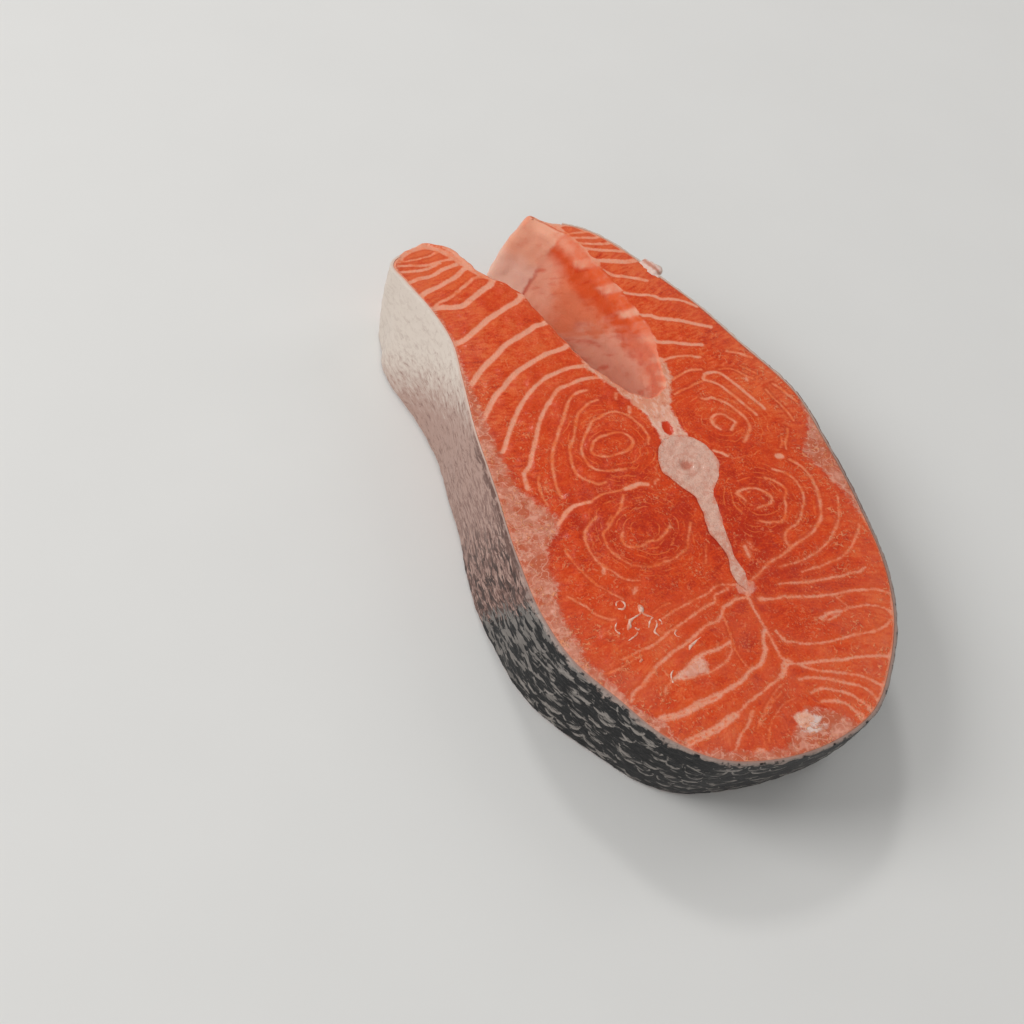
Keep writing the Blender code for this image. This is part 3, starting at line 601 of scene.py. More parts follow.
def triangulate(
    loops: list[np.ndarray], lines: list[np.ndarray], step: float, seed: int
) -> tuple[np.ndarray, np.ndarray, list[np.ndarray]]:
    """Fills the first loop, outside the others, with small triangles.

    Args:
        loops: The closed rim, then any holes, as x, y points.
        lines: Open lines that the triangles' sides follow.
        step: Wanted length of a side.
        seed: Start of the random numbers that unsettle the grid.

    Returns:
        All x, y points, the triangles as rows of indices, and the indices of each loop's points.
    """
    fixed, edges, loop_ids = [], [], []
    for loop in loops:
        first = sum(len(part) for part in fixed)
        ids = np.arange(first, first + len(loop))
        edges += list(zip(ids.tolist(), np.roll(ids, -1).tolist()))
        loop_ids.append(ids)
        fixed.append(loop)
    rims = tree_of(np.concatenate(loops))
    for line in lines:
        kept = inside(line, loops[0])
        for hole in loops[1:]:
            kept &= ~inside(line, hole)
        kept &= distances(rims, line) > LINE_CLEARANCE * step
        for run in np.split(np.arange(len(line)), np.flatnonzero(np.diff(kept.astype(int))) + 1):
            if len(run) > 1 and kept[run[0]]:
                first = sum(len(part) for part in fixed)
                edges += [(first + i, first + i + 1) for i in range(len(run) - 1)]
                fixed.append(line[run])
    low, high = loops[0].min(axis=0), loops[0].max(axis=0)
    rows, columns = np.meshgrid(
        np.arange(int((high[1] - low[1]) / (step * ROW_RISE)) + 1),
        np.arange(int((high[0] - low[0]) / step) + 1),
        indexing="ij",
    )
    grid = np.stack([low[0] + (columns + 0.5 * (rows % 2)) * step, low[1] + rows * step * ROW_RISE], axis=-1)
    grid = grid.reshape(-1, 2)
    grid += np.random.default_rng(seed).uniform(-STRAY, STRAY, grid.shape) * step
    grid = grid[inside(grid, loops[0])]
    for hole in loops[1:]:
        grid = grid[~inside(grid, hole)]
    grid = grid[distances(tree_of(np.concatenate(fixed)), grid) > GRID_CLEARANCE * step]
    everything = np.concatenate([*fixed, grid])
    found = delaunay_2d_cdt([tuple(p) for p in everything.tolist()], edges, [], 1, SAME_POINT)
    points = np.array([tuple(p) for p in found[0]])
    faces = np.array(found[2])
    place = np.full(len(everything), -1)
    for number, sources in enumerate(found[3]):
        place[sources] = number
    for hole in loops[1:]:
        faces = faces[~inside(points[faces].mean(axis=1), hole)]
    a, b, c = points[faces].transpose(1, 0, 2)
    turned = (b[:, 0] - a[:, 0]) * (c[:, 1] - a[:, 1]) < (b[:, 1] - a[:, 1]) * (c[:, 0] - a[:, 0])
    faces[turned] = faces[turned][:, ::-1]
    return points, faces, [place[ids] for ids in loop_ids]


class Body:
    """The points, faces and point attributes of one mesh while it is put together, in millimetres."""

    def __init__(self) -> None:
        """Starts empty."""
        self.points: list[np.ndarray] = []
        self.faces: list[list[int]] = []
        self.values: dict[str, list[np.ndarray]] = {}
        self.count = 0

    def add(self, points: np.ndarray, values: dict[str, np.ndarray | float]) -> np.ndarray:
        """Adds points.

        Args:
            points: Rows of x, y, z.
            values: Every attribute of the mesh, as one number or one for each point.

        Returns:
            The new points' indices.
        """
        for name, value in values.items():
            self.values.setdefault(name, []).append(np.broadcast_to(value, len(points)))
        self.points.append(points)
        self.count += len(points)
        return np.arange(self.count - len(points), self.count)

    def bridge(self, lower: np.ndarray, upper: np.ndarray, closed: bool = True) -> None:
        """Joins two runs of indices with quads that face right of the way they run."""
        lower_next, upper_next = np.roll(lower, -1), np.roll(upper, -1)
        quads = np.stack([lower, lower_next, upper_next, upper], axis=1)
        self.faces += (quads if closed else quads[:-1]).tolist()

    def wall(self, rows: list[np.ndarray], closed: bool = True) -> None:
        """Joins runs of indices, each with the next."""
        for lower, upper in zip(rows, rows[1:]):
            self.bridge(lower, upper, closed)

    def stitch(self, left: np.ndarray, right: np.ndarray) -> None:
        """Joins two columns that run upwards and end together, facing as the quads of bridge do."""
        i = j = 0
        while i < len(left) - 1 or j < len(right) - 1:
            left_share = (i + 1) / (len(left) - 1) if i < len(left) - 1 else 2.0
            right_share = (j + 1) / (len(right) - 1) if j < len(right) - 1 else 2.0
            if left_share <= right_share:
                self.faces.append([int(left[i]), int(right[j]), int(left[i + 1])])
                i += 1
            else:
                self.faces.append([int(left[i]), int(right[j]), int(right[j + 1])])
                j += 1

    def fill(
        self,
        face: Face,
        loops: list[np.ndarray],
        rim_ids: np.ndarray,
        tracks: list[np.ndarray],
        grain: tuple[float, int],
        solid: Callable[[np.ndarray], tuple[np.ndarray, dict[str, np.ndarray]]],
    ) -> np.ndarray:
        """Fills a cut face with small triangles.

        Args:
            face: The face.
            loops: Its rim, then any hole, as x, y points of the plan.
            rim_ids: Indices of the rim's points, which are there already.
            tracks: Lines that the triangles' sides follow.
            grain: Length of a side, and the start of the random numbers.
            solid: Gives the rows x, y, z and the attributes of points of the plan.

        Returns:
            The indices of the last loop's points.
        """
        flat, faces, rings = triangulate(loops, tracks, *grain)
        ids = np.full(len(flat), -1)
        ids[rings[0]] = rim_ids
        rest = np.flatnonzero(ids < 0)
        ids[rest] = self.add(*solid(flat[rest]))
        self.faces += face.outwards(ids[faces])
        return ids[rings[-1]]

    def to_object(self, name: str, material: bpy.types.Material, sharp: float) -> bpy.types.Object:
        """Makes the mesh object in metres, in the row frame.

        Args:
            name: The piece's name.
            material: Its material.
            sharp: Angle in degrees above which an edge isn't smoothed.

        Returns:
            The object, linked to the scene.
        """
        values = {title: np.concatenate(parts) for title, parts in self.values.items()}
        piece = mesh_object(name, row_metres(np.concatenate(self.points)), [], self.faces, values)
        piece.data.materials.append(material)
        piece.data.shade_smooth()
        piece.data.set_sharp_from_angle(angle=math.radians(sharp))
        return piece


def mesh_object(
    name: str, points: np.ndarray, edges: list, faces: list, values: dict[str, np.ndarray]
) -> bpy.types.Object:
    """Makes a mesh object and links it to the scene.

    Args:
        name: Its name.
        points: Rows of x, y, z in metres.
        edges: Pairs of indices.
        faces: Rows of indices.
        values: Its attributes by name, one number or vector for each point.

    Returns:
        The object.
    """
    mesh = bpy.data.meshes.new(name)
    mesh.from_pydata(points.tolist(), edges, faces)
    mesh.validate()
    for title, numbers in values.items():
        kind, key = ("FLOAT", "value") if numbers.ndim == 1 else ("FLOAT_VECTOR", "vector")
        attribute = mesh.attributes.new(title, kind, "POINT")
        attribute.data.foreach_set(key, np.ascontiguousarray(numbers, dtype=np.float32).ravel())
    made = bpy.data.objects.new(name, mesh)
    bpy.context.scene.collection.objects.link(made)
    return made


def row_metres(points: np.ndarray) -> np.ndarray:
    """Points in millimetres from the backbone's axis as metres in the row frame, inside the CAD's box."""
    shifted = points.copy()
    shifted[:, :2] += ROW_SHIFT
    return inside_part(shifted * METRES)


def inside_part(points: np.ndarray) -> np.ndarray:
    """Points in metres, moved inside the CAD's box where they are outside."""
    lows, highs = zip(*(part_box(node.value) for node in Node))
    return np.clip(points, np.min(lows, axis=0), np.max(highs, axis=0))


class FaceFields:
    """What the cut face shows at each place: fat, pale tissue, blood and the tone of the muscle."""

    def __init__(self) -> None:
        """Prepares the lines and the rim."""
        self.lines = [(line, line.line()) for line in (*FAT_LINES, *PALE_MARKS)]
        outline, _, skin_count = PLAN.outline(RIM_FIELD_STEP)
        self.skin_tree, self.flap_tree = tree_of(outline[:skin_count]), tree_of(outline[skin_count:])

    @staticmethod
    def raise_fat(
        points: np.ndarray, line: FatLine, track: np.ndarray, best: np.ndarray, tone: np.ndarray
    ) -> None:
        """Raises best, the distance inside fat in millimetres, and tone where the line is nearest."""
        reach = line.width * FAT_SPREAD / 2 + FAT_REACH
        low, high = track.min(axis=0) - reach, track.max(axis=0) + reach
        near = np.flatnonzero(((points > low) & (points < high)).all(axis=1))
        if not len(near):
            return
        away, place = line_distance(points[near], track)
        share = place / (len(track) - 1)
        width = line.width * (line.ends[0] + (line.ends[1] - line.ends[0]) * share)
        edge = FAT_SPREAD * width / 2 - away
        better = edge > best[near]
        best[near[better]] = edge[better]
        tone[near[better]] = line.tone

    def at(self, points: np.ndarray) -> dict[str, np.ndarray]:
        """The fields at x, y points of the upper plan, by attribute name."""
        best, tone = np.full(len(points), -FAT_REACH), np.zeros(len(points))
        for line, track in self.lines:
            self.raise_fat(points, line, track, best, tone)
        depths = np.array([patch.depth(points) for patch in PALE_TISSUE])
        hole_x, hole_y, half_x, half_y = BLOOD_HOLE
        fin_x, fin_y, fin_reach, squash = FIN_ROOT
        x, y = points.T
        nearest = [self.skin_tree.find((*place, 0.0)) for place in points.tolist()]
        from_skin = np.array([found[2] for found in nearest])
        return {
            "fat_edge": best,
            "fat_tone": tone,
            "border": np.max([patch.depth(points) for patch in BORDER_FAT], axis=0),
            "tissue": depths.max(axis=0),
            "tissue_tone": np.array([patch.tone for patch in PALE_TISSUE])[depths.argmax(axis=0)],
            "muscle": soft_spots(points, TONE_SPOTS),
            "blood": 1 - np.hypot((x - hole_x) / half_x, (y - hole_y) / half_y),
            "whorl": np.min([np.hypot(*(points - centre).T) for centre in WHORLS], axis=0),
            "rim": np.minimum(from_skin, distances(self.flap_tree, points)),
            "fin": fin_reach - np.hypot(x - fin_x, squash * (y - fin_y)),
            "from_skin": from_skin,
            "along_skin": np.array([found[1] for found in nearest]) * RIM_FIELD_STEP,
            "from_bone": -y,
        }


@dataclass(frozen=True)
class Backbone:
    """The vertebra with its neural spine, right through the steak.

    Attributes:
        centre: x and y of the vertebra.
        half_width: Its half width.
        half_length: Its half length.
        upper_power: How square its upper half is.
        lower_power: How square its lower half is.
        blend: How sharply the blade meets it.
        step: Distance between points of the outline and of the cut faces.
        unevenness: How far the outline wanders.
        levels: Heights of the points on its wall.
        sunk: How far its upper face lies below the CAD's.
        lower_inset: How far its lower face lies inside the CAD's.
        coarse_relief: Height of the faces' broad unevenness.
        fine_relief: Height of their fine unevenness.
        marrow: x and y of the marrow's spot.
        marrow_radius: Its radius.
        marrow_depth: How deep it is sunk.
        face_sunk: How far the whole face is sunk inside its rim.
        rim_blend: How far in from the rim it is sunk and uneven as given.
        wander: How the outline wanders.
        coarse: The broad unevenness.
        fine: The fine unevenness.
    """

    centre: tuple[float, float] = (-0.4, 0.3)
    half_width: float = 7.7
    half_length: float = 10.5
    upper_power: float = 2.1
    lower_power: float = 1.35
    blend: float = 3.0
    step: float = 0.5
    unevenness: float = 0.1
    levels: tuple[float, ...] = (0.0, 6.0, 13.0, 20.0, 25.6, THICKNESS)
    sunk: float = 0.1
    lower_inset: float = 0.2
    coarse_relief: float = 0.07
    fine_relief: float = 0.035
    marrow: tuple[float, float] = (-1.3, 1.0)
    marrow_radius: float = 1.5
    marrow_depth: float = 0.5
    face_sunk: float = 0.05
    rim_blend: float = 1.2
    wander: Ripple = Ripple(23, 2.6, 9.0)
    coarse: Ripple = Ripple(21, 1.6, 5.0)
    fine: Ripple = Ripple(22, 0.7, 1.6)

    def outline(self, growth: float) -> np.ndarray:
        """The outline on the upper face, anticlockwise, grown outwards by the given distance."""
        blade_y, blade_x, blade_width = smooth_line(SPINE_BLADE, self.step)[::-1].T
        steps = round(math.pi / 2 * self.half_length / self.step)
        turns = np.linspace(-math.pi / 2, math.pi / 2, 2 * steps + 1)
        body_y = self.centre[1] + self.half_length * np.sin(turns)
        heights = np.concatenate([blade_y[blade_y < body_y[0] - self.step / 2], body_y])
        share = np.minimum(np.abs(heights - self.centre[1]) / self.half_length, 1.0)
        power = np.where(heights > self.centre[1], self.upper_power, self.lower_power)
        bodies = self.half_width * (1 - share**power) ** (1 / power)
        widths = np.interp(heights, blade_y, blade_width, right=0.0)
        halves = (bodies**self.blend + widths**self.blend) ** (1 / self.blend)
        middles = np.interp(heights, blade_y, blade_x, right=self.centre[0])
        right = np.stack([middles + halves, heights], axis=1)
        left = np.stack([middles - halves, heights], axis=1)[:-1][::-1]
        loop = np.concatenate([right, left])
        growth = growth + self.unevenness * self.wander.at(loop)
        return loop + outward_normals(loop) * growth[:, None]

    def build(self, material: bpy.types.Material) -> bpy.types.Object:
        """Makes the backbone."""
        loop = self.outline(0.0)
        body = Body()
        edge = {"rim": 0.0, "centre": self.from_marrow(loop)}
        rows = [
            body.add(PLAN.solid_points(loop, height, self.sunk), edge) for height in self.levels
        ]
        body.wall(rows)
        rim = tree_of(loop)
        for face, row, seed in ((Face.UPPER, rows[-1], 5), (Face.LOWER, rows[0], 6)):
            solid = partial(self.solid, face=face, rim=rim)
            body.fill(face, [loop], row, [], (self.step, seed), solid)
        return body.to_object("spine_bone", material, sharp=50.0)

    def solid(self, plan: np.ndarray, face: Face, rim: KDTree) -> tuple[np.ndarray, dict[str, np.ndarray]]:
        """Points of a cut face in the solid with its pits and marrow, and their attributes."""
        away = distances(rim, plan)
        relief = self.coarse_relief * self.coarse.at(plan) + self.fine_relief * self.fine.at(plan)
        marrow = self.marrow_depth * np.exp(-((self.from_marrow(plan) / self.marrow_radius) ** 2))
        relief -= marrow + self.face_sunk
        if face is Face.LOWER:
            relief = self.lower_inset - relief
        solid = PLAN.solid_points(plan, face.value, self.sunk)
        solid[:, 2] += relief * soft_step(0.0, self.rim_blend, away)
        return solid, {"rim": away, "centre": self.from_marrow(plan)}

    def from_marrow(self, plan: np.ndarray) -> np.ndarray:
        """How far each x, y point is from the marrow's spot."""
        return np.hypot(*(plan - self.marrow).T)


@dataclass(frozen=True)
class Flesh:
    """The meat and fat, open where the backbone runs through it.

    Attributes:
        bone: The backbone.
        fields: What the cut face shows.
        rim_step: Distance between points along the rim.
        face_step: Size of the upper face's triangles.
        lower_step: Size of the lower face's triangles.
        wall_step: Height of the quads on the walls beside the belly.
        rim_radius: Rounding of the rims.
        ridge_radius: Rounding of the ridge along the right flap's inner edge.
        skin_inset: How far the flesh stands back for the skin.
        skin_ends: How far from the flaps' tips the skin starts.
        skin_start: How far from them it starts to cover the flesh, and covers it whole.
        covered_rim: How much smaller the rim's radius is under the skin, as a share.
        hidden_levels: How many quads the wall under the skin is high.
        bone_overlap: How far the flesh reaches into the bone, so that no gap shows.
        raggedness: Unevenness of the cut rims.
        calm: How much less of it there is halfway up, as a share.
        wall_relief: Unevenness of the walls.
        sunk: How far the upper face lies below the CAD's.
        lower_inset: How far the lower face lies inside the CAD's.
        coarse_relief: Height of the faces' broad unevenness.
        fine_relief: Height of their fine unevenness.
        fat_depth: How far the fat lines are sunk.
        fat_slope: Between which distances inside their edge they sink.
        blood_depth: How deep the blood's hole is.
        blood_slope: Between which shares of its depth inwards it sinks.
        rim_blend: How far in from the rim the unevenness is whole.
        rim_look: How far in from the rim the walls take their fat and tone.
        foot: How far the right flap's inner wall stands out at its foot.
        foot_height: How high up the foot starts.
        foot_end: y between which it ends towards the flap's tip.
        ridge_start: y between which the right flap's inner edge starts.
        ridge_end: y between which it ends.
        ridge_side: x between which the right flap starts.
        coarse: The faces' broad unevenness.
        fine: Their fine unevenness.
        rag: The unevenness of the rims.
        wall: That of the walls.
    """

    bone: Backbone
    fields: FaceFields
    rim_step: float = 0.6
    face_step: float = 0.58
    lower_step: float = 1.0
    wall_step: float = 0.62
    rim_radius: float = 0.6
    ridge_radius: float = 2.8
    skin_inset: float = 1.05
    skin_ends: float = 1.2
    skin_start: tuple[float, float] = (0.6, 1.6)
    covered_rim: float = 0.6
    hidden_levels: int = 4
    bone_overlap: float = 0.06
    raggedness: float = 0.16
    calm: float = 0.75
    wall_relief: float = 0.12
    sunk: float = 0.16
    lower_inset: float = 0.16
    coarse_relief: float = 0.055
    fine_relief: float = 0.022
    fat_depth: float = 0.12
    fat_slope: tuple[float, float] = (-0.5, 0.3)
    blood_depth: float = 0.3
    blood_slope: tuple[float, float] = (0.0, 0.6)
    rim_blend: float = 1.4
    rim_look: float = 1.2
    foot: float = 2.6
    foot_height: float = 9.0
    foot_end: tuple[float, float] = (98.0, 86.0)
    ridge_start: tuple[float, float] = (40.0, 52.0)
    ridge_end: tuple[float, float] = (104.0, 96.0)
    ridge_side: tuple[float, float] = (-16.0, -11.0)
    coarse: Ripple = Ripple(11, 3.5, 11.0)
    fine: Ripple = Ripple(12, 1.3, 3.2)
    rag: Ripple = Ripple(13, 1.6, 7.0, axes=3)
    wall: Ripple = Ripple(14, 5.0, 18.0, axes=3)

    def levels(self, fine: bool, radius: np.ndarray) -> list[tuple[np.ndarray, np.ndarray]]:
        """Heights up the wall, each with how far the rounded rims pull it in there.

        Args:
            fine: Whether the wall shows; a hidden one has few levels.
            radius: The rim's radius at each point of the outline.

        Returns:
            Pairs of heights and insets, from the lower face to the upper one.
        """
        turns = np.radians((0.0, 22.0, 45.0, 67.0, 90.0) if fine else (0.0, 90.0))
        rim = [(radius * (1 - math.sin(turn)), radius * (1 - math.cos(turn))) for turn in turns]
        steps = round(THICKNESS / self.wall_step) if fine else self.hidden_levels
        shares = np.arange(1, steps) / steps
        middle = [(radius + (THICKNESS - 2 * radius) * share, 0.0 * radius) for share in shares]
        return [*rim[::-1], *middle, *[(THICKNESS - low, inset) for low, inset in rim]]

    def radii(self, points: np.ndarray, backing: np.ndarray) -> np.ndarray:
        """The rim's radius at each point of the outline: larger on the right flap's inner edge."""
        ridge = self.right_inner(points) * (1 - backing)
        plain = self.rim_radius * (1 - self.covered_rim * backing)
        return plain + (self.ridge_radius - self.rim_radius) * ridge

    def right_inner(self, points: np.ndarray) -> np.ndarray:
        """1 along the right flap's inner edge and 0 elsewhere."""
        x, y = points.T
        along = soft_step(*self.ridge_start, y) * soft_step(*self.ridge_end, y)
        return along * soft_step(*self.ridge_side, x)

    def shift(
        self,
        points: np.ndarray,
        normals: np.ndarray,
        height: np.ndarray,
        inset: np.ndarray,
        backing: np.ndarray,
    ) -> np.ndarray:
        """The outline at one height, moved by the swell, the rims, the skin's inset and raggedness.

        Args:
            points: The outline's points.
            normals: Their outward normals.
            height: Each point's height.
            inset: How far the rim's rounding pulls each point in.
            backing: 1 where the skin covers the wall and 0 where it is bare.

        Returns:
            The moved points.
        """
        swell = np.sin(math.pi * height / THICKNESS)
        spots = np.column_stack([points, height])
        edge = self.raggedness * (1 - self.calm * swell)
        rough = self.rag.at(spots) * edge + self.wall.at(spots) * self.wall_relief * swell
        foot = self.foot * soft_step(self.foot_height, 0.0, height)
        foot = foot * self.right_inner(points) * soft_step(*self.foot_end, points[:, 1])
        out = WALL_SWELL * swell - inset - self.skin_inset * backing + (rough + foot) * (1 - backing)
        return points + normals * out[:, None]

    def build(self, material: bpy.types.Material) -> bpy.types.Object:
        """Makes the flesh."""
        points, normals, skin_count = PLAN.outline(self.rim_step)
        steps = np.arange(len(points))
        reach = np.minimum(steps, skin_count - 1 - steps) * self.rim_step
        covered = soft_step(*self.skin_start, reach)
        backing = np.where(steps < skin_count, covered, 0.0)
        bare = round(self.skin_ends / self.rim_step) + 2
        columns = {
            True: np.r_[np.arange(skin_count - 1 - bare, len(points)), np.arange(bare + 1)],
            False: np.arange(bare + 1, skin_count - 1 - bare),
        }
        radius = self.radii(points, backing)
        levels = {shows: self.levels(shows, radius) for shows in columns}
        plans = {
            face: self.shift(points, normals, *levels[True][end], backing)
            for face, end in ((Face.UPPER, -1), (Face.LOWER, 0))
        }
        run = np.clip(steps - skin_count, 0, None) * self.rim_step
        rim_fields = self.fields.at(points - normals * self.rim_look)
        rim_fields |= {"rim": 0 * run, "wall": 1 - backing, "run": np.minimum(run, run[-1] - run)}
        edge_fields = {**rim_fields, "wall": 0.5 * (1 - backing)}
        body = Body()
        rims = {
            face: body.add(PLAN.solid_points(plan, face.value, self.sunk), edge_fields)
            for face, plan in plans.items()
        }
        walls = []
        for shows, members in columns.items():
            rows = [rims[Face.LOWER][members]]
            for height, inset in levels[shows][1:-1]:
                plan = self.shift(points, normals, height, inset, backing)[members]
                fields = self.slanted(rim_fields, run, skin_count, THICKNESS - height)
                fields = {name: value[members] for name, value in fields.items()}
                rows.append(body.add(PLAN.solid_points(plan, height[members], self.sunk), fields))
            rows.append(rims[Face.UPPER][members])
            body.wall(rows, closed=False)
            walls.append(np.array(rows))
        body.stitch(walls[0][:, -1], walls[1][:, 0])
        body.stitch(walls[1][:, -1], walls[0][:, 0])
        hole = self.bone.outline(-self.bone_overlap)
        tracks = [track for _, track in self.fields.lines[: len(FAT_LINES)]]
        fills = {Face.UPPER: (tracks, (self.face_step, 3)), Face.LOWER: ([], (self.lower_step, 4))}
        holes = [
            body.fill(face, [plans[face], hole], rims[face], lines, grain, partial(self.solid, face=face))
            for face, (lines, grain) in fills.items()
        ]
        body.bridge(*holes)
        return body.to_object("salmon_flesh", material, sharp=180.0)

    @staticmethod
    def slanted(
        fields: dict[str, np.ndarray], run: np.ndarray, first: int, depth: np.ndarray
    ) -> dict[str, np.ndarray]:
        """The rim's fields some way down the inner walls, where fat runs down slanting from the bone.

        Args:
            fields: The fields at the rim, by name.
            run: How far each point is along the inner rim.
            first: The first point that isn't backed by skin.
            depth: How far down each point is.

        Returns:
            The fields at that depth.
        """
        bend = run[-1] / 2
        slid = run + np.sign(bend - run) * np.minimum(depth, np.abs(bend - run))
        kept = ("run", "rim", "wall")
        walls, starts = slid[first:], run[first:]
        return {
            name: value if name in kept else np.r_[value[:first], np.interp(walls, starts, value[first:])]
            for name, value in fields.items()
        }

    def solid(self, plan: np.ndarray, face: Face) -> tuple[np.ndarray, dict[str, np.ndarray]]:
        """Points of a cut face in the solid with fine rises and falls, and their fields."""
        values = self.fields.at(plan)
        values["wall"] = values["run"] = np.zeros(len(plan))
        relief = self.coarse_relief * self.coarse.at(plan) + self.fine_relief * self.fine.at(plan)
        relief -= self.fat_depth * soft_step(*self.fat_slope, values["fat_edge"]) * values["fat_tone"]
        relief -= self.blood_depth * soft_step(*self.blood_slope, values["blood"])
        if face is Face.LOWER:
            relief = self.lower_inset - relief
        solid = PLAN.solid_points(plan, face.value, self.sunk)
        solid[:, 2] += relief * soft_step(0.0, self.rim_blend, values["rim"])
        return solid, values


@dataclass(frozen=True)
class SkinSize:
    """Sizes of the skin.

    Attributes:
        step: Distance between points along the outline.
        levels: How many quads it is high.
        thickness: Its thickness.
        inset: How far its bare surface lies inside the CAD's, to leave room for the scales.
        ends: How far from the flaps' tips it starts.
        edge: Rounding of its cut edges.
        edge_rows: How far in from an edge its rows of points are, and how far they stand back there, as a
            share of the rounding.
        low: Height of its lower edge.
        top: Height of its upper edge.
        inner_levels: How many rows of points its inner side has.
        wrinkles: Height of its wrinkles.
        wrinkle_squash: How much closer together they are up the skin than along it.
        raggedness: How far the upper edge dips.
        ragged_height: How far down it is ragged.
    """

    step: float = 0.7
    levels: int = 36
    thickness: float = 1.1
    inset: float = 0.25
    ends: float = 0.9
    edge: float = 0.25
    edge_rows: Rows = ((0.0, 1.0), (0.1, 0.35))
    low: float = 0.3
    top: float = THICKNESS - 0.12
    inner_levels: int = 4
    wrinkles: float = 0.05
    wrinkle_squash: float = 1.6
    raggedness: float = 0.12
    ragged_height: float = 1.5


class Skin:
    """The strip of skin round the outside, from one flap's tip round the back to the other."""

    def __init__(self, size: SkinSize) -> None:
        """Keeps the sizes and prepares the unevenness."""
        self.size = size
        points, normals, count = PLAN.outline(size.step)
        first = round(size.ends / size.step)
        self.points, self.normals = points[first : count - first], normals[first : count - first]
        self.reach = np.arange(first, count - first) * size.step
        self.wrinkle = Ripple(31, 2.0, 9.0, axes=2)
        self.rag = Ripple(32, 1.2, 6.0, axes=1)

    def surface(self, height: float, inset: float, wrinkled: bool = False) -> np.ndarray:
        """Points of the skin at one height, a distance inside the CAD's surface."""
        out = WALL_SWELL * math.sin(math.pi * height / THICKNESS) - inset + np.zeros(len(self.reach))
        if wrinkled:
            up = np.full(len(self.reach), height * self.size.wrinkle_squash)
            spots = np.column_stack([self.reach, up])
            out += self.size.wrinkles * self.wrinkle.at(spots)
        return PLAN.solid_points(self.points + self.normals * out[:, None], height)

    def build(self, material: bpy.types.Material) -> bpy.types.Object:
        """Makes the skin."""
        size, body = self.size, Body()
        rounding = [(low, share * size.edge) for low, share in size.edge_rows]
        profile = [(size.low + low, size.inset + inset) for low, inset in rounding]
        middle = np.linspace(size.low + size.edge, size.top - size.edge, size.levels)
        profile += [(height, size.inset) for height in middle.tolist()]
        profile += [(size.top - low, size.inset + inset) for low, inset in reversed(rounding)]
        dips = size.raggedness * np.abs(self.rag.at(self.reach[:, None]))
        runs = []
        for height, inset in profile:
            layer = self.surface(height, inset, wrinkled=True)
            layer[:, 2] -= soft_step(size.top - size.ragged_height, size.top, height) * dips
            runs.append(body.add(layer, {"reach": self.reach, "level": height, "inner": 0.0}))
        for height in np.linspace(size.top, size.low, size.inner_levels).tolist():
            layer = self.surface(height, size.thickness)
            runs.append(body.add(layer, {"reach": self.reach, "level": height, "inner": 1.0}))
        body.wall([*runs, runs[0]], closed=False)
        body.faces += [[int(run[0]) for run in runs], [int(run[-1]) for run in reversed(runs)]]
        return body.to_object("salmon_skin", material, sharp=50.0)


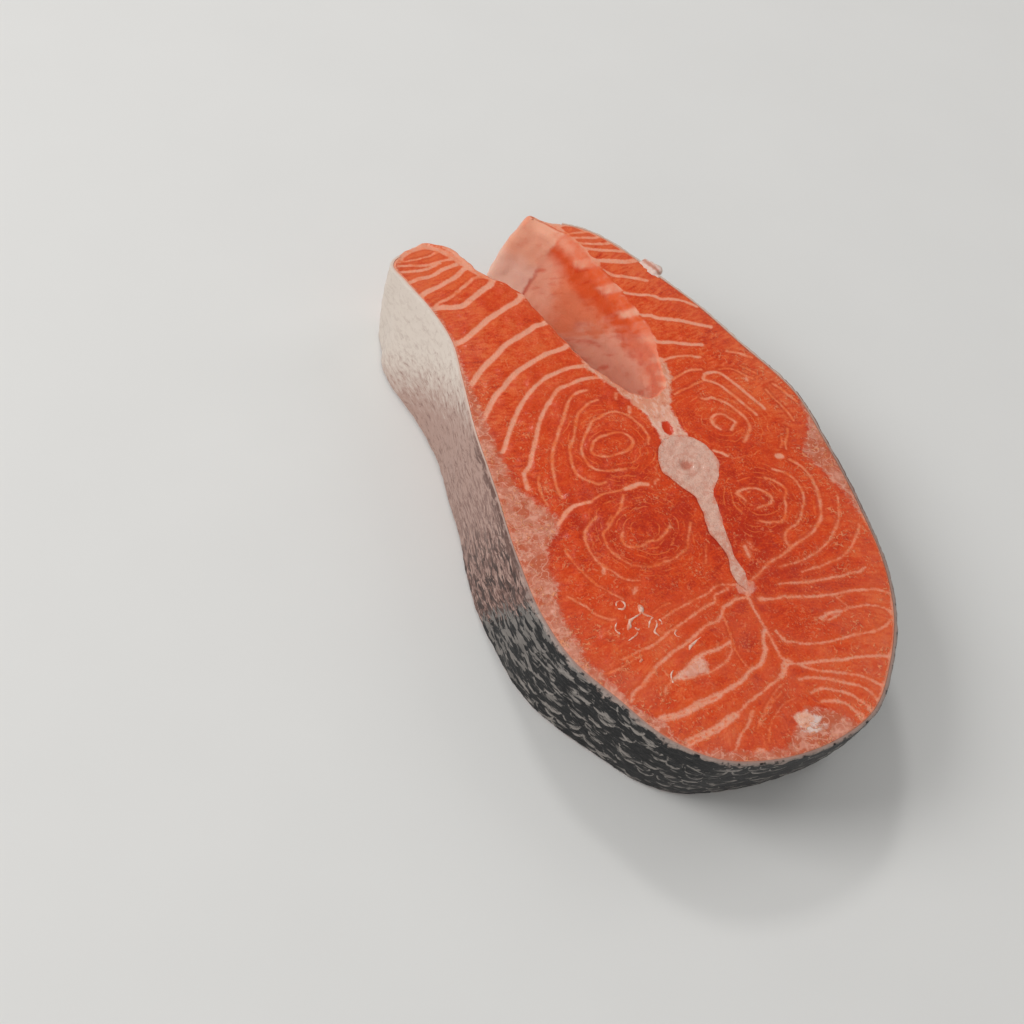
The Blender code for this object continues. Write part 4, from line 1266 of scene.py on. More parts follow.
@dataclass(frozen=True)
class Scales:
    """Overlapping scales all over the skin, with their round free edges towards the lower face.

    Attributes:
        skin: The skin they lie on.
        spacing: Distance between scales along the outline.
        row: Height between their rows.
        first_row: Height of the lowest row.
        clear: How far from the skin's end they start.
        spare: How much of the skin's length is left over at both ends together.
        headroom: How much of the height has no row.
        width: A scale's width along the outline.
        length: Its length up the skin.
        roundness: How round its free edge is, 0 to 1.
        taper: How much narrower its ends are than its middle, as a share.
        rounded: How much of its length the free edge's rounding takes, as a share.
        bulge: How far its middle stands out.
        tilt: How far its free edge stands out.
        sunk: How far it is sunk into the skin.
        columns: How many points it is wide.
        rows: How many points it is long.
        spread: How far it strays along the outline, as a share of the spacing.
        rise: How far it strays up the skin, as a share of the rows' height.
        twist: How far it is turned.
        bigness: Its smallest and largest scale.
        belly_relief: Its relief at the belly, as a share of that at the back.
        belly_end: How far from the flaps' tips the relief starts to grow.
        back_start: How far from them it is whole.
        seed: Start of the random numbers.
    """

    skin: Skin
    spacing: float = 4.0
    row: float = 2.5
    first_row: float = 2.95
    clear: float = 3.6
    spare: float = 7.0
    headroom: float = 2.6
    width: float = 5.2
    length: float = 4.6
    roundness: float = 0.82
    taper: float = 0.14
    rounded: float = 0.65
    bulge: float = 0.04
    tilt: float = 0.09
    sunk: float = 0.02
    columns: int = 7
    rows: int = 6
    spread: float = 0.16
    rise: float = 0.15
    twist: float = 0.16
    bigness: tuple[float, float] = (0.82, 1.15)
    belly_relief: float = 0.3
    belly_end: float = 55.0
    back_start: float = 115.0
    seed: int = 41

    def leaf(self) -> bpy.types.Object:
        """One flat scale in metres, free along -Y, with scale_rim from 0 inside to 1 at that edge."""
        across, along = np.meshgrid(np.linspace(-1, 1, self.columns), np.linspace(0, 1, self.rows))
        round_off = np.sqrt(np.maximum(1 - self.roundness * across**2, 0))
        x = across * self.width / 2 * (1 - self.taper + self.taper * np.sin(math.pi * along))
        y = self.length * (0.5 - along * (1 - self.rounded + self.rounded * round_off))
        z = self.bulge * (1 - across**2) + self.tilt * along - self.sunk
        ids = np.arange(across.size).reshape(across.shape)
        faces = np.stack([ids[:-1, :-1], ids[1:, :-1], ids[1:, 1:], ids[:-1, 1:]], axis=-1)
        values = {
            "scale_rim": np.maximum(along, np.abs(across) ** 3),
            "leaf_height": z * METRES,
            "leaf_reach": x,
            "leaf_level": y,
        }
        scale = mesh_object(
            "one_scale",
            np.stack([x, y, 0 * z], axis=-1).reshape(-1, 3) * METRES,
            [],
            faces.reshape(-1, 4).tolist(),
            {name: numbers.ravel() for name, numbers in values.items()},
        )
        scale.data.shade_smooth()
        return scale

    def guide(self) -> bpy.types.Object:
        """A point for every scale, with the directions and tone it takes."""
        draw = np.random.default_rng(self.seed)
        rows = [
            self.placed_row(self.first_row + number * self.row, 0.5 * (number % 2), draw)
            for number in range(int((THICKNESS - self.headroom) / self.row))
        ]
        points, *values = (np.concatenate(parts) for parts in zip(*rows))
        names = ("facing", "across", "scale_tone", "bigness", "reach", "level", "relief")
        return mesh_object("skin_scales", row_metres(points), [], [], dict(zip(names, values)))

    def placed_row(self, height: float, offset: float, draw: np.random.Generator) -> tuple[np.ndarray, ...]:
        """One row of scales.

        Args:
            height: Its height up the skin.
            offset: How far along it starts, as a share of the spacing.
            draw: The random numbers.

        Returns:
            The scales' places, facings, directions across, tones, sizes, reaches, levels and reliefs.
        """
        skin = self.skin
        surface = skin.surface(height, skin.size.inset)
        upper = skin.surface(height + 1.0, skin.size.inset)
        count = int((skin.reach[-1] - skin.reach[0] - self.spare) / self.spacing)
        reach = skin.reach[0] + self.clear + (np.arange(count) + offset) * self.spacing
        reach += draw.normal(0, self.spread, count) * self.spacing
        levels = draw.normal(0, self.rise, count) * self.row
        steps = np.arange(len(skin.reach))
        place = np.interp(reach, skin.reach, steps)
        nearest = np.round(place).astype(int)
        at = np.stack([np.interp(place, steps, surface[:, axis]) for axis in range(3)], axis=1)
        tangent = unit(np.gradient(surface, axis=0)[nearest])
        rise = unit((upper - surface)[nearest])
        at += rise * levels[:, None]
        facing = unit(np.cross(tangent, rise))
        tone = draw.uniform(0, 1, count)
        bigness = draw.uniform(*self.bigness, count)
        across = tangent + rise * draw.normal(0, self.twist, count)[:, None]
        backwards = soft_step(self.belly_end, self.back_start, np.minimum(reach, SKIN_REACH - reach))
        relief = self.belly_relief + (1 - self.belly_relief) * backwards
        return at, facing, across, tone, bigness, reach, at[:, 2], relief

    def build(self, material: bpy.types.Material, skin_piece: bpy.types.Object) -> bpy.types.Object:
        """Makes the scales.

        Args:
            material: Their material.
            skin_piece: The skin they are laid on.

        Returns:
            The scales.
        """
        leaf, guide = self.leaf(), self.guide()
        kinds = {"Scale shape": "Object", "Skin": "Object", "Relief": "Float", "Finish": "Material"}
        graph = GeometryGraph("scales_on_skin", kinds)
        skin = graph.shape("Skin")
        turn = graph.node(
            "FunctionNodeAxesToRotation",
            {"primary_axis": "Z", "secondary_axis": "X"},
            {0: graph.named("facing", "FLOAT_VECTOR"), 1: graph.named("across", "FLOAT_VECTOR")},
        )
        bigness = Value(graph, graph.named("bigness"))
        scale = graph.combined(bigness, bigness, bigness)
        placed = graph.instances(graph.shape("Scale shape"), scale, {"Rotation": turn.outputs[0]})
        loose = graph.node("GeometryNodeRealizeInstances", None, {0: placed})
        near = graph.node("GeometryNodeProximity", None, {0: skin})
        facing = graph.node(
            "GeometryNodeSampleNearestSurface",
            {"data_type": "FLOAT_VECTOR"},
            {"Mesh": skin, "Value": graph.node("GeometryNodeInputNormal").outputs[0]},
        )
        lift = Value(graph, graph.named("leaf_height")) * graph.named("relief") * graph.inputs["Relief"]
        raised = Colour(graph, facing.outputs["Value"]).scaled(lift)
        resting = graph.vector("ADD", Colour(graph, near.outputs["Position"]), raised)
        values = {"Geometry": loose.outputs[0], "Position": resting}
        graph.finish(graph.node("GeometryNodeSetPosition", None, values).outputs[0])
        graph.apply(guide, {"Scale shape": leaf, "Skin": skin_piece, "Relief": 1.0, "Finish": material})
        bpy.data.objects.remove(leaf)
        return guide


@dataclass(frozen=True)
class GlazeThreads:
    """Fine threads and drops of dried glaze that lie on the lower left of the cut face.

    Attributes:
        step: Distance between points along a thread.
        sunk: How far threads sink into the face, as a share of their radius.
        face_sunk: How far the face lies below the CAD's there.
        thickness: How thick they are, as a share of their radius.
        flatness: A drop's height as a share of its width.
        sides: How many sides a thread has.
    """

    step: float = 0.35
    sunk: float = 1.45
    face_sunk: float = 0.2
    thickness: float = 1.1
    flatness: float = 0.75
    sides: int = 8

    def guide(self) -> bpy.types.Object:
        """The threads as lines of points with their radii."""
        points, edges = [], []
        for thread in GLAZE_THREADS:
            line = smooth_line(thread, self.step)
            edges += [(len(points) + i, len(points) + i + 1) for i in range(len(line) - 1)]
            points += line.tolist()
        x, y, radius = np.array(points).T
        height = PLAN.relief(np.stack([x, y], axis=1)) + THICKNESS - self.face_sunk + radius * (1 - self.sunk)
        placed = row_metres(np.stack([x, y, height], axis=1))
        return mesh_object("glaze_threads", placed, edges, [], {"thread_radius": radius * METRES})

    def build(self, material: bpy.types.Material) -> bpy.types.Object:
        """Makes the threads."""
        guide = self.guide()
        graph = GeometryGraph("glaze_on_face", {"Thickness": "Float", "Finish": "Material"})
        radius = Value(graph, graph.named("thread_radius")) * graph.inputs["Thickness"]
        curve = graph.node("GeometryNodeMeshToCurve", None, {0: graph.inputs["Geometry"]}).outputs[0]
        ring = graph.node("GeometryNodeCurvePrimitiveCircle", None, {"Resolution": self.sides, "Radius": 1.0})
        values = {"Curve": curve, "Profile Curve": ring.outputs[0], "Scale": radius, "Fill Caps": True}
        tube = graph.node("GeometryNodeCurveToMesh", None, values)
        ball = graph.node("GeometryNodeMeshIcoSphere", None, {"Radius": 1.0, "Subdivisions": 2})
        balls = graph.instances(ball.outputs[0], graph.combined(radius, radius, radius * self.flatness))
        joined = graph.node("GeometryNodeJoinGeometry")
        for part in (tube.outputs[0], balls):
            graph.tree.links.new(part, joined.inputs[0])
        graph.finish(joined.outputs[0])
        graph.apply(guide, {"Thickness": self.thickness, "Finish": material})
        return guide


@dataclass(frozen=True)
class FatTab:
    """The tab of fat that sticks out of the right flap's outer edge.

    Attributes:
        outline: x and y round it.
        top: Height of its top.
        thickness: Its thickness.
        step: Distance between its points.
        dome: How far its faces bulge.
        rounding: How far in from its rim they do.
        relief: Unevenness of its faces.
        raggedness: Unevenness of its rim.
        fin: How white it is, as the fields put it: partly its whitish fat and partly painted light, so that
            its shaded side looks lit.
        ripple: Its unevenness.
    """

    outline: Rows = (
        (14.6, 75.6), (15.2, 72.4), (16.6, 69.0), (17.8, 68.2), (18.7, 70.2), (20.4, 72.2), (20.2, 73.4),
        (19.0, 74.2), (18.4, 75.8), (16.8, 76.8),
    )  # fmt: skip
    top: float = 26.4
    thickness: float = 2.4
    step: float = 0.35
    dome: float = 0.75
    rounding: float = 1.6
    relief: float = 0.1
    raggedness: float = 0.12
    fin: float = 6.0
    ripple: Ripple = Ripple(51, 1.2, 3.5)

    def build(self, material: bpy.types.Material, fields: FaceFields) -> bpy.types.Object:
        """Makes the tab."""
        loop = smooth_line((*self.outline, self.outline[0]), self.step)[:-1]
        loop += outward_normals(loop) * self.raggedness * self.ripple.at(loop)[:, None]
        flat, faces, (rim,) = triangulate([loop], [], self.step, 52)
        away = distances(tree_of(loop), flat)
        dome = self.dome * np.sqrt(soft_step(0.0, self.rounding, away))
        dome += self.relief * self.ripple.at(flat) * soft_step(0.0, 1.0, away)
        middle = PLAN.relief(flat) + self.top - self.thickness / 2
        half = self.thickness / 2 - self.dome + dome
        looks = {"fat_edge": 1.5, "fat_tone": 1.0, "rim": 3.0, "border": 1.0}
        # The high fin value whitens the tab: partly whitish fat, partly painted light on its shaded side.
        looks |= {"fin": self.fin, "wall": 0.0, "run": 0.0}
        values = fields.at(flat) | looks
        body = Body()
        upper = body.add(np.column_stack([flat, middle + half]), values)
        lower = body.add(np.column_stack([flat, middle - half]), values)
        body.faces += Face.UPPER.outwards(upper[faces]) + Face.LOWER.outwards(lower[faces])
        body.bridge(lower[rim], upper[rim])
        return body.to_object("fat_tab", material, sharp=180.0)


class Value:
    """A number socket of a shader or geometry tree that can be used in sums."""

    def __init__(self, graph: "Graph", socket: bpy.types.NodeSocket) -> None:
        """Keeps the tree and the socket."""
        self.graph, self.socket = graph, socket

    def math(self, operation: str, *others: "Value | Number") -> "Value":
        """One Math node with this value first."""
        return self.graph.maths(operation, self, *others)

    def __add__(self, other: "Value | Number") -> "Value":
        """Sum."""
        return self.math("ADD", other)

    __radd__ = __add__

    def __mul__(self, other: "Value | Number") -> "Value":
        """Product."""
        return self.math("MULTIPLY", other)

    __rmul__ = __mul__

    def __sub__(self, other: "Value | Number") -> "Value":
        """Difference."""
        return self.math("SUBTRACT", other)

    def __rsub__(self, other: Number) -> "Value":
        """Difference from a number."""
        return self.graph.maths("SUBTRACT", other, self)

    def __truediv__(self, other: "Value | Number") -> "Value":
        """Quotient."""
        return self.math("DIVIDE", other)

    def __rtruediv__(self, other: Number) -> "Value":
        """A number over this value."""
        return self.graph.maths("DIVIDE", other, self)

    def larger(self, other: "Value | Number") -> "Value":
        """The larger of two."""
        return self.math("MAXIMUM", other)

    def smaller(self, other: "Value | Number") -> "Value":
        """The smaller of two."""
        return self.math("MINIMUM", other)

    def step(self, low: Number, high: Number) -> "Value":
        """0 at low, 1 at high and an S between them; low may be above high."""
        node = self.graph.node(
            "ShaderNodeMapRange",
            {"interpolation_type": "SMOOTHSTEP"},
            {"Value": self, "From Min": low, "From Max": high, "To Min": 0.0, "To Max": 1.0},
        )
        return Value(self.graph, node.outputs["Result"])


class Colour:
    """A colour or vector socket."""

    def __init__(self, graph: "Graph", socket: bpy.types.NodeSocket) -> None:
        """Keeps the tree and the socket."""
        self.graph, self.socket = graph, socket

    def mix(self, other: "Colour | tuple", share: "Value | Number") -> "Colour":
        """This colour with a share of the other in it."""
        return self.graph.mix(self, other, share)

    def layered(self, *layers: tuple["Colour | tuple", "Value | Number"]) -> "Colour":
        """This colour under layers, each given as its colour and its share."""
        made = self
        for colour, share in layers:
            made = made.mix(colour, share)
        return made

    def scaled(self, factor: "Value | Number") -> "Colour":
        """Every channel times the factor."""
        return self.graph.vector("SCALE", self, factor)


class Graph:
    """A node tree while it is put together."""

    def __init__(self, tree: bpy.types.NodeTree) -> None:
        """Keeps the tree."""
        self.tree = tree
        self.values: dict[str, Value] = {}

    def put(self, socket: bpy.types.NodeSocket, value: object) -> None:
        """Links a value to an input socket, or sets it there."""
        if isinstance(value, (Value, Colour)):
            self.tree.links.new(value.socket, socket)
        elif isinstance(value, bpy.types.NodeSocket):
            self.tree.links.new(value, socket)
        elif socket.type == "RGBA" and len(value) == 3:
            socket.default_value = (*value, 1.0)
        else:
            socket.default_value = value

    def node(self, kind: str, settings: dict | None = None, inputs: dict | None = None) -> bpy.types.Node:
        """Adds any node.

        Args:
            kind: Its type.
            settings: Its properties, set first.
            inputs: Values or links by the socket's name or number.

        Returns:
            The node.
        """
        node = self.tree.nodes.new(kind)
        for name, value in (settings or {}).items():
            setattr(node, name, value)
        for name, value in (inputs or {}).items():
            self.put(node.inputs[name], value)
        return node

    def maths(self, operation: str, *values: "Value | Number") -> Value:
        """One Math node."""
        node = self.node("ShaderNodeMath", {"operation": operation}, dict(enumerate(values)))
        return Value(self, node.outputs[0])

    def vector(self, operation: str, first: Colour, second: object) -> Colour:
        """One Vector Math node; the second input is a factor for SCALE."""
        name = "Scale" if operation == "SCALE" else 1
        node = self.node("ShaderNodeVectorMath", {"operation": operation}, {0: first, name: second})
        return Colour(self, node.outputs[0])

    def mix(self, first: object, second: object, share: "Value | Number") -> Colour:
        """One Mix node for colours."""
        node = self.node("ShaderNodeMix", {"data_type": "RGBA"})
        self.put(node.inputs[0], share)
        self.put(node.inputs[6], first)
        self.put(node.inputs[7], second)
        return Colour(self, node.outputs[2])

    def attribute(self, name: str) -> Value:
        """A number attribute of the mesh."""
        if name not in self.values:
            node = self.node("ShaderNodeAttribute", {"attribute_name": name})
            self.values[name] = Value(self, node.outputs["Fac"])
        return self.values[name]

    def position(self, stretch: tuple[float, float, float] = (1.0, 1.0, 1.0)) -> Colour:
        """The place on the object in millimetres, stretched along its axes."""
        place = Colour(self, self.node("ShaderNodeTexCoord").outputs["Object"])
        return self.vector("MULTIPLY", place, tuple(share / METRES for share in stretch))

    def coordinate(self, axis: str) -> Value:
        """X, Y or Z on the object in millimetres."""
        return Value(self, self.node("ShaderNodeSeparateXYZ", None, {0: self.position()}).outputs[axis])

    def noise(
        self, size: float, detail: float = 3.0, rough: float = 0.55, place: Colour | None = None
    ) -> Value:
        """Noise from 0 to 1.

        Args:
            size: Size of its features in millimetres.
            detail: How many finer layers it has.
            rough: How strong they are.
            place: Where it is read, the place on the object if not given.

        Returns:
            The noise.
        """
        inputs = {"Vector": place or self.position(), "Scale": 1 / size, "Detail": detail, "Roughness": rough}
        return Value(self, self.node("ShaderNodeTexNoise", None, inputs).outputs["Fac"])

    def sway(self, *noise: float, **place: Colour) -> Value:
        """Noise about 0."""
        return self.noise(*noise, **place) - 0.5

    def veins(self, *noise: float, **place: Colour) -> Value:
        """0 along winding lines and rising beside them."""
        return self.sway(*noise, **place).math("ABSOLUTE")

    def combined(self, x: "Value | Number", y: "Value | Number", z: "Value | Number" = 0.0) -> Colour:
        """A vector of three numbers."""
        node = self.node("ShaderNodeCombineXYZ", None, {0: x, 1: y, 2: z})
        return Colour(self, node.outputs[0])


class GeometryGraph(Graph):
    """A geometry node tree with named inputs that ends in Realize Instances and Set Material."""

    def __init__(self, name: str, inputs: dict[str, str]) -> None:
        """Makes the tree.

        Args:
            name: The tree's name.
            inputs: Kinds of the further inputs by name; one is called Finish, the material.
        """
        super().__init__(bpy.data.node_groups.new(name, "GeometryNodeTree"))
        face = self.tree.interface
        face.new_socket("Geometry", in_out="INPUT", socket_type="NodeSocketGeometry")
        face.new_socket("Geometry", in_out="OUTPUT", socket_type="NodeSocketGeometry")
        self.identifiers = {
            title: face.new_socket(title, in_out="INPUT", socket_type=f"NodeSocket{kind}").identifier
            for title, kind in inputs.items()
        }
        start = self.node("NodeGroupInput")
        self.inputs = {socket.name: socket for socket in start.outputs if socket.name}
        for title, kind in inputs.items():
            if kind == "Float":
                self.inputs[title] = Value(self, self.inputs[title])

    def shape(self, title: str) -> bpy.types.NodeSocket:
        """The mesh of the object that an input names."""
        return self.node("GeometryNodeObjectInfo", None, {"Object": self.inputs[title]}).outputs["Geometry"]

    def instances(
        self, shape: bpy.types.NodeSocket, scale: Colour, inputs: dict[str, object] | None = None
    ) -> bpy.types.NodeSocket:
        """A copy of a shape, scaled, on each point of the input geometry."""
        values = {"Points": self.inputs["Geometry"], "Instance": shape, "Scale": scale, **(inputs or {})}
        return self.node("GeometryNodeInstanceOnPoints", None, values).outputs[0]

    def named(self, name: str, kind: str = "FLOAT") -> bpy.types.NodeSocket:
        """A named attribute of the input geometry."""
        return self.node("GeometryNodeInputNamedAttribute", {"data_type": kind}, {"Name": name}).outputs[0]

    def finish(self, geometry: bpy.types.NodeSocket) -> None:
        """Ends the tree."""
        realized = self.node("GeometryNodeRealizeInstances", None, {0: geometry})
        inputs = {"Geometry": realized.outputs[0], "Material": self.inputs["Finish"]}
        painted = self.node("GeometryNodeSetMaterial", None, inputs)
        self.tree.links.new(painted.outputs[0], self.node("NodeGroupOutput").inputs[0])

    def apply(self, guide: bpy.types.Object, values: dict[str, object]) -> None:
        """Turns a guide object into the plain mesh that the tree makes of it."""
        modifier = guide.modifiers.new(self.tree.name, "NODES")
        modifier.node_group = self.tree
        for title, value in values.items():
            modifier[self.identifiers[title]] = value
        evaluated = guide.evaluated_get(bpy.context.evaluated_depsgraph_get())
        made = bpy.data.meshes.new_from_object(evaluated)
        guide.modifiers.clear()
        guide.data = made
        places = np.empty(3 * len(made.vertices), dtype=np.float32)
        made.vertices.foreach_get("co", places)
        made.vertices.foreach_set("co", inside_part(places.reshape(-1, 3)).astype(np.float32).ravel())
        made.shade_smooth()


def linear(red: int, green: int, blue: int) -> tuple[float, float, float]:
    """A colour given in 0 to 255 as the screen shows it, as linear light."""
    shares = [channel / 255 for channel in (red, green, blue)]
    return tuple(s / 12.92 if s <= 0.04045 else ((s + 0.055) / 1.055) ** 2.4 for s in shares)


class Finish:
    """A material whose colours and surface are worked out by nodes."""

    name = "finish"
    constants: dict[str, object] = {}

    def material(self) -> bpy.types.Material:
        """Makes the material."""
        made = bpy.data.materials.new(self.name)
        made.use_nodes = True
        graph = Graph(made.node_tree)
        shader = made.node_tree.nodes["Principled BSDF"]
        for socket, value in self.constants.items():
            shader.inputs[socket].default_value = value
        for socket, value in self.look(graph).items():
            graph.put(shader.inputs[socket], value)
        return made

    def look(self, graph: Graph) -> dict[str, object]:
        """What varies, by the shader's socket."""
        raise NotImplementedError

    @staticmethod
    def bump(graph: Graph, height: Value, depth: float) -> Colour:
        """The normal of a surface with fine relief, depth in millimetres for a height of 1."""
        node = graph.node("ShaderNodeBump", None, {"Distance": depth * METRES, "Height": height})
        return Colour(graph, node.outputs["Normal"])


@dataclass(frozen=True)
class FleshFinish(Finish):
    """Moist salmon: orange-red muscle between pale fat lines, with duller fat under the skin.

    Attributes:
        deep: Muscle at its deepest; also the painted shade beside the fat lines and in the walls' crease.
        middle: Muscle in the middle of its range.
        light: Muscle at its palest.
        faint_fat: The weakest fat lines.
        fat: The strongest fat lines.
        border: The duller fat under the skin.
        border_light: Its palest places, partly painted glints of its wet surface.
        border_deep: Muscle that shows through it.
        fin: The whitish fat at the root of the back fin.
        tissue: The tissue over the bone.
        pale_tissue: Its palest strands.
        painted_glint: Painted highlight, small glints of the wet surface.
        blood: The blood in the hole over the vertebra.
        wall_orange: Muscle on the belly's walls.
        wall_brown: Muscle under thin membrane there.
        dusty: Membrane there.
        coral: The pale ends of the flaps.
        coral_low: Their lower parts.
    """

    deep: tuple = linear(182, 36, 5)
    middle: tuple = linear(212, 63, 12)
    light: tuple = linear(225, 96, 46)
    faint_fat: tuple = linear(232, 112, 56)
    fat: tuple = linear(233, 155, 126)
    border: tuple = linear(200, 124, 100)
    border_light: tuple = linear(224, 160, 138)
    border_deep: tuple = linear(190, 88, 56)
    fin: tuple = linear(226, 206, 196)
    tissue: tuple = linear(218, 140, 110)
    pale_tissue: tuple = linear(232, 184, 164)
    painted_glint: tuple = linear(240, 158, 112)
    blood: tuple = linear(204, 50, 6)
    wall_orange: tuple = linear(222, 88, 40)
    wall_brown: tuple = linear(232, 134, 96)
    dusty: tuple = linear(238, 172, 146)
    coral: tuple = linear(232, 164, 136)
    coral_low: tuple = linear(236, 188, 168)
    name = "moist_salmon_flesh"
    constants = {
        "Metallic": 0.0,
        "IOR": 1.38,
        "Subsurface Weight": 0.12,
        "Subsurface Radius": (0.0018, 0.0006, 0.0003),
        "Subsurface Scale": 1.0,
        "Coat Roughness": 0.14,
        "Coat IOR": 1.36,
        "Specular IOR Level": 0.42,
        "Specular Tint": (1.0, 0.72, 0.5, 1.0),
    }

    def look(self, graph: Graph) -> dict[str, object]:
        """The cut face, then the walls beside the belly, then the moist surface."""
        wall = graph.attribute("wall").step(0.42, 0.85)
        grain = graph.noise(0.62, 3.0, 0.6)
        squiggles, flecks = self.squiggles(graph), self.flecks(graph)
        # The marks of the painted glints also give the bump its relief.
        painted_glint = (0.5 * squiggles + 0.3 * flecks) * (1.0 - wall)
        relief = 0.45 * grain + 0.35 * graph.noise(1.5, 3.0) + painted_glint
        wet = graph.noise(5.0, 2.0).step(0.4, 0.62) * (1.0 - 0.7 * wall)
        return {
            "Base Color": self.face(graph, squiggles, flecks).mix(self.wall(graph), wall),
            "Roughness": 0.44 + 0.2 * grain - 0.2 * wet,
            "Coat Weight": 0.03 + 0.10 * wet,
            "Normal": self.bump(graph, relief, 0.26),
        }

    @staticmethod
    def squiggles(graph: Graph) -> Value:
        """Short worm-like lines of painted glint on the wet surface, in scattered areas."""
        lines = graph.veins(1.6, 1.5, 0.4).step(0.055, 0.012) * graph.noise(1.1, 2.0).step(0.44, 0.56)
        areas = graph.noise(5.5, 2.0).step(0.46, 0.60)
        outer = graph.attribute("from_skin").step(22.0, 7.0) * 0.6 + 0.4
        return lines * areas * outer * (graph.attribute("from_bone").step(-58.0, -22.0) * 0.85 + 0.15)

    @staticmethod
    def flecks(graph: Graph) -> Value:
        """Small painted glints of the wet surface, thick in places."""
        spots = graph.noise(0.62, 2.0, 0.6, place=graph.position((1.0, 0.7, 1.0))).step(0.57, 0.68)
        areas = graph.noise(6.5, 3.0).step(0.46, 0.62)
        return spots * areas * (graph.attribute("from_bone").step(-60.0, -20.0) * 0.75 + 0.25)

    @staticmethod
    def rings(graph: Graph) -> Value:
        """Faint broken rings round the middles of the four whorls."""
        away = graph.attribute("whorl")
        bent = away / 1.75 + 2.6 * graph.sway(9.0, 2.0) + 0.35 * graph.sway(2.4, 2.0)
        lines = bent.math("PINGPONG", 0.5).step(0.15, 0.03) * graph.noise(2.8, 2.0).step(0.42, 0.58)
        return lines * away.step(16.5, 12.0) * away.step(1.0, 2.4)

    @staticmethod
    def threads(graph: Graph) -> Value:
        """Finer worm-like lines all over."""
        lines = graph.veins(0.85, 2.0, 0.5, place=graph.position((1.0, 1.0, 0.6))).step(0.06, 0.01)
        return lines * graph.noise(0.8, 2.0).step(0.42, 0.56) * graph.noise(3.6, 2.0).step(0.40, 0.62)

    def face(self, graph: Graph, squiggles: Value, flecks: Value) -> Colour:
        """Muscle, then fat, border, tissue, painted glints and blood over it, all with ragged edges."""
        ragged = graph.sway(0.9, 3.0)
        mottle = graph.sway(2.4, 4.0, 0.62)
        from_skin = graph.attribute("from_skin")
        tone = self.muscle(graph, mottle)
        hazy = graph.attribute("from_bone").step(22.0, 58.0)
        hazy = hazy * (0.03 + 0.12 * graph.noise(8.0, 3.0).step(0.36, 0.66)) + from_skin.step(13.0, 3.0) * 0.1
        border = graph.attribute("border") + 3.4 * mottle + 1.6 * ragged + 1.2 * graph.sway(0.45, 2.0)
        muscle = graph.mix(self.middle, self.light, tone.step(-0.05, 0.8)).layered(
            (self.deep, tone.step(0.05, -0.8)),
            (self.border, hazy),
            (self.faint_fat, (self.threads(graph) * 0.5).larger(self.rings(graph) * 0.62)),
            (self.deep, border.step(-1.6, -0.6) * 0.2),
        )
        tip = graph.attribute("along_skin").math("PINGPONG", SKIN_REACH / 2.0).step(24.0, 8.0)
        rim = (graph.attribute("rim") + 1.2 * ragged - 0.7 * tip).step(0.9, 0.25) * from_skin.step(3.4, 1.8)
        tissue = (graph.attribute("tissue") + 1.2 * ragged + 2.8 * mottle).step(-0.5, 0.5)
        return self.with_fat(graph, muscle, ragged).layered(
            (self.border_fat(graph, mottle), border.step(-0.75, 0.75) * 0.94),
            (self.border, (from_skin + 0.8 * ragged).step(1.1, 0.3) * 0.8),
            (self.fat, rim * (0.3 + 0.55 * tip)),
            (self.strands(graph), tissue * graph.attribute("tissue_tone")),
            # Painted highlight: small glints of the wet surface, as squiggles and flecks.
            (self.painted_glint, (squiggles * 0.62).larger(flecks * 0.5)),
            (self.blood, (graph.attribute("blood") + 0.8 * ragged).step(-0.02, 0.3)),
        )

    @staticmethod
    def muscle(graph: Graph, mottle: Value) -> Value:
        """How pale (+) or deep (-) the muscle is, with fibres that run along the skin near it."""
        from_skin = graph.attribute("from_skin")
        along = graph.combined(
            graph.attribute("along_skin") * 1.15, from_skin * 0.28, graph.coordinate("Z") * 0.3
        )
        lengthwise = graph.attribute("from_bone").step(20.0, -30.0)
        fibres = graph.sway(1.0, 2.0, 0.5, place=along) * from_skin.step(24.0, 8.0) * (0.6 + 0.4 * lengthwise)
        tone = graph.attribute("muscle") + 1.5 * mottle + 1.4 * graph.sway(0.55, 2.0) + 2.8 * fibres
        return tone + 1.7 * graph.sway(6.0, 3.0)

    def strands(self, graph: Graph) -> Colour:
        """The tissue over the bone, in strands, whiter next to the bone."""
        strands = graph.noise(1.0, 3.0, place=graph.position((1.0, 0.35, 0.5)))
        whiter = graph.attribute("from_bone").step(-27.0, -13.0) * 0.6 + strands.step(0.46, 0.62) * 0.55
        pink = graph.mix(self.tissue, self.pale_tissue, whiter.smaller(1.0))
        return pink.mix(self.border_deep, graph.noise(2.2, 3.0).step(0.56, 0.70) * 0.5)

    def border_fat(self, graph: Graph, mottle: Value) -> Colour:
        """Duller fat with pale curls, deeper where muscle shows through, whitish at the back fin; its pale
        lobes and curls are partly painted glints.
        """
        curls = graph.veins(2.0, 2.0, 0.5).step(0.05, 0.01) * graph.noise(1.2, 2.0).step(0.45, 0.6)
        loops = graph.veins(5.0, 1.0, 0.4).step(0.022, 0.006)
        broad = graph.sway(4.6, 3.0)
        lobes = (graph.noise(1.2, 3.0) + 0.8 * broad).step(0.46, 0.72)
        gaps = (graph.noise(3.0, 3.0) - 0.9 * broad).step(0.45, 0.62)
        near = (graph.attribute("border") + 2.0 * mottle).step(1.8, -0.3)
        fin = (graph.attribute("fin") + 2.5 * mottle).step(-1.5, 2.0)
        whitish = graph.noise(1.6, 3.0) + 0.08 * (graph.attribute("fin") - 2.0)
        return graph.mix(self.border, self.border_light, lobes * 0.6).layered(
            (self.border_deep, gaps * 0.8),
            (self.middle, near * graph.noise(0.8, 2.0).step(0.40, 0.60) * 0.45),
            (self.border_light, (curls * 0.8).larger(loops * 0.6)),
            (self.fin, fin * whitish.step(0.38, 0.60) * 0.9),
        )

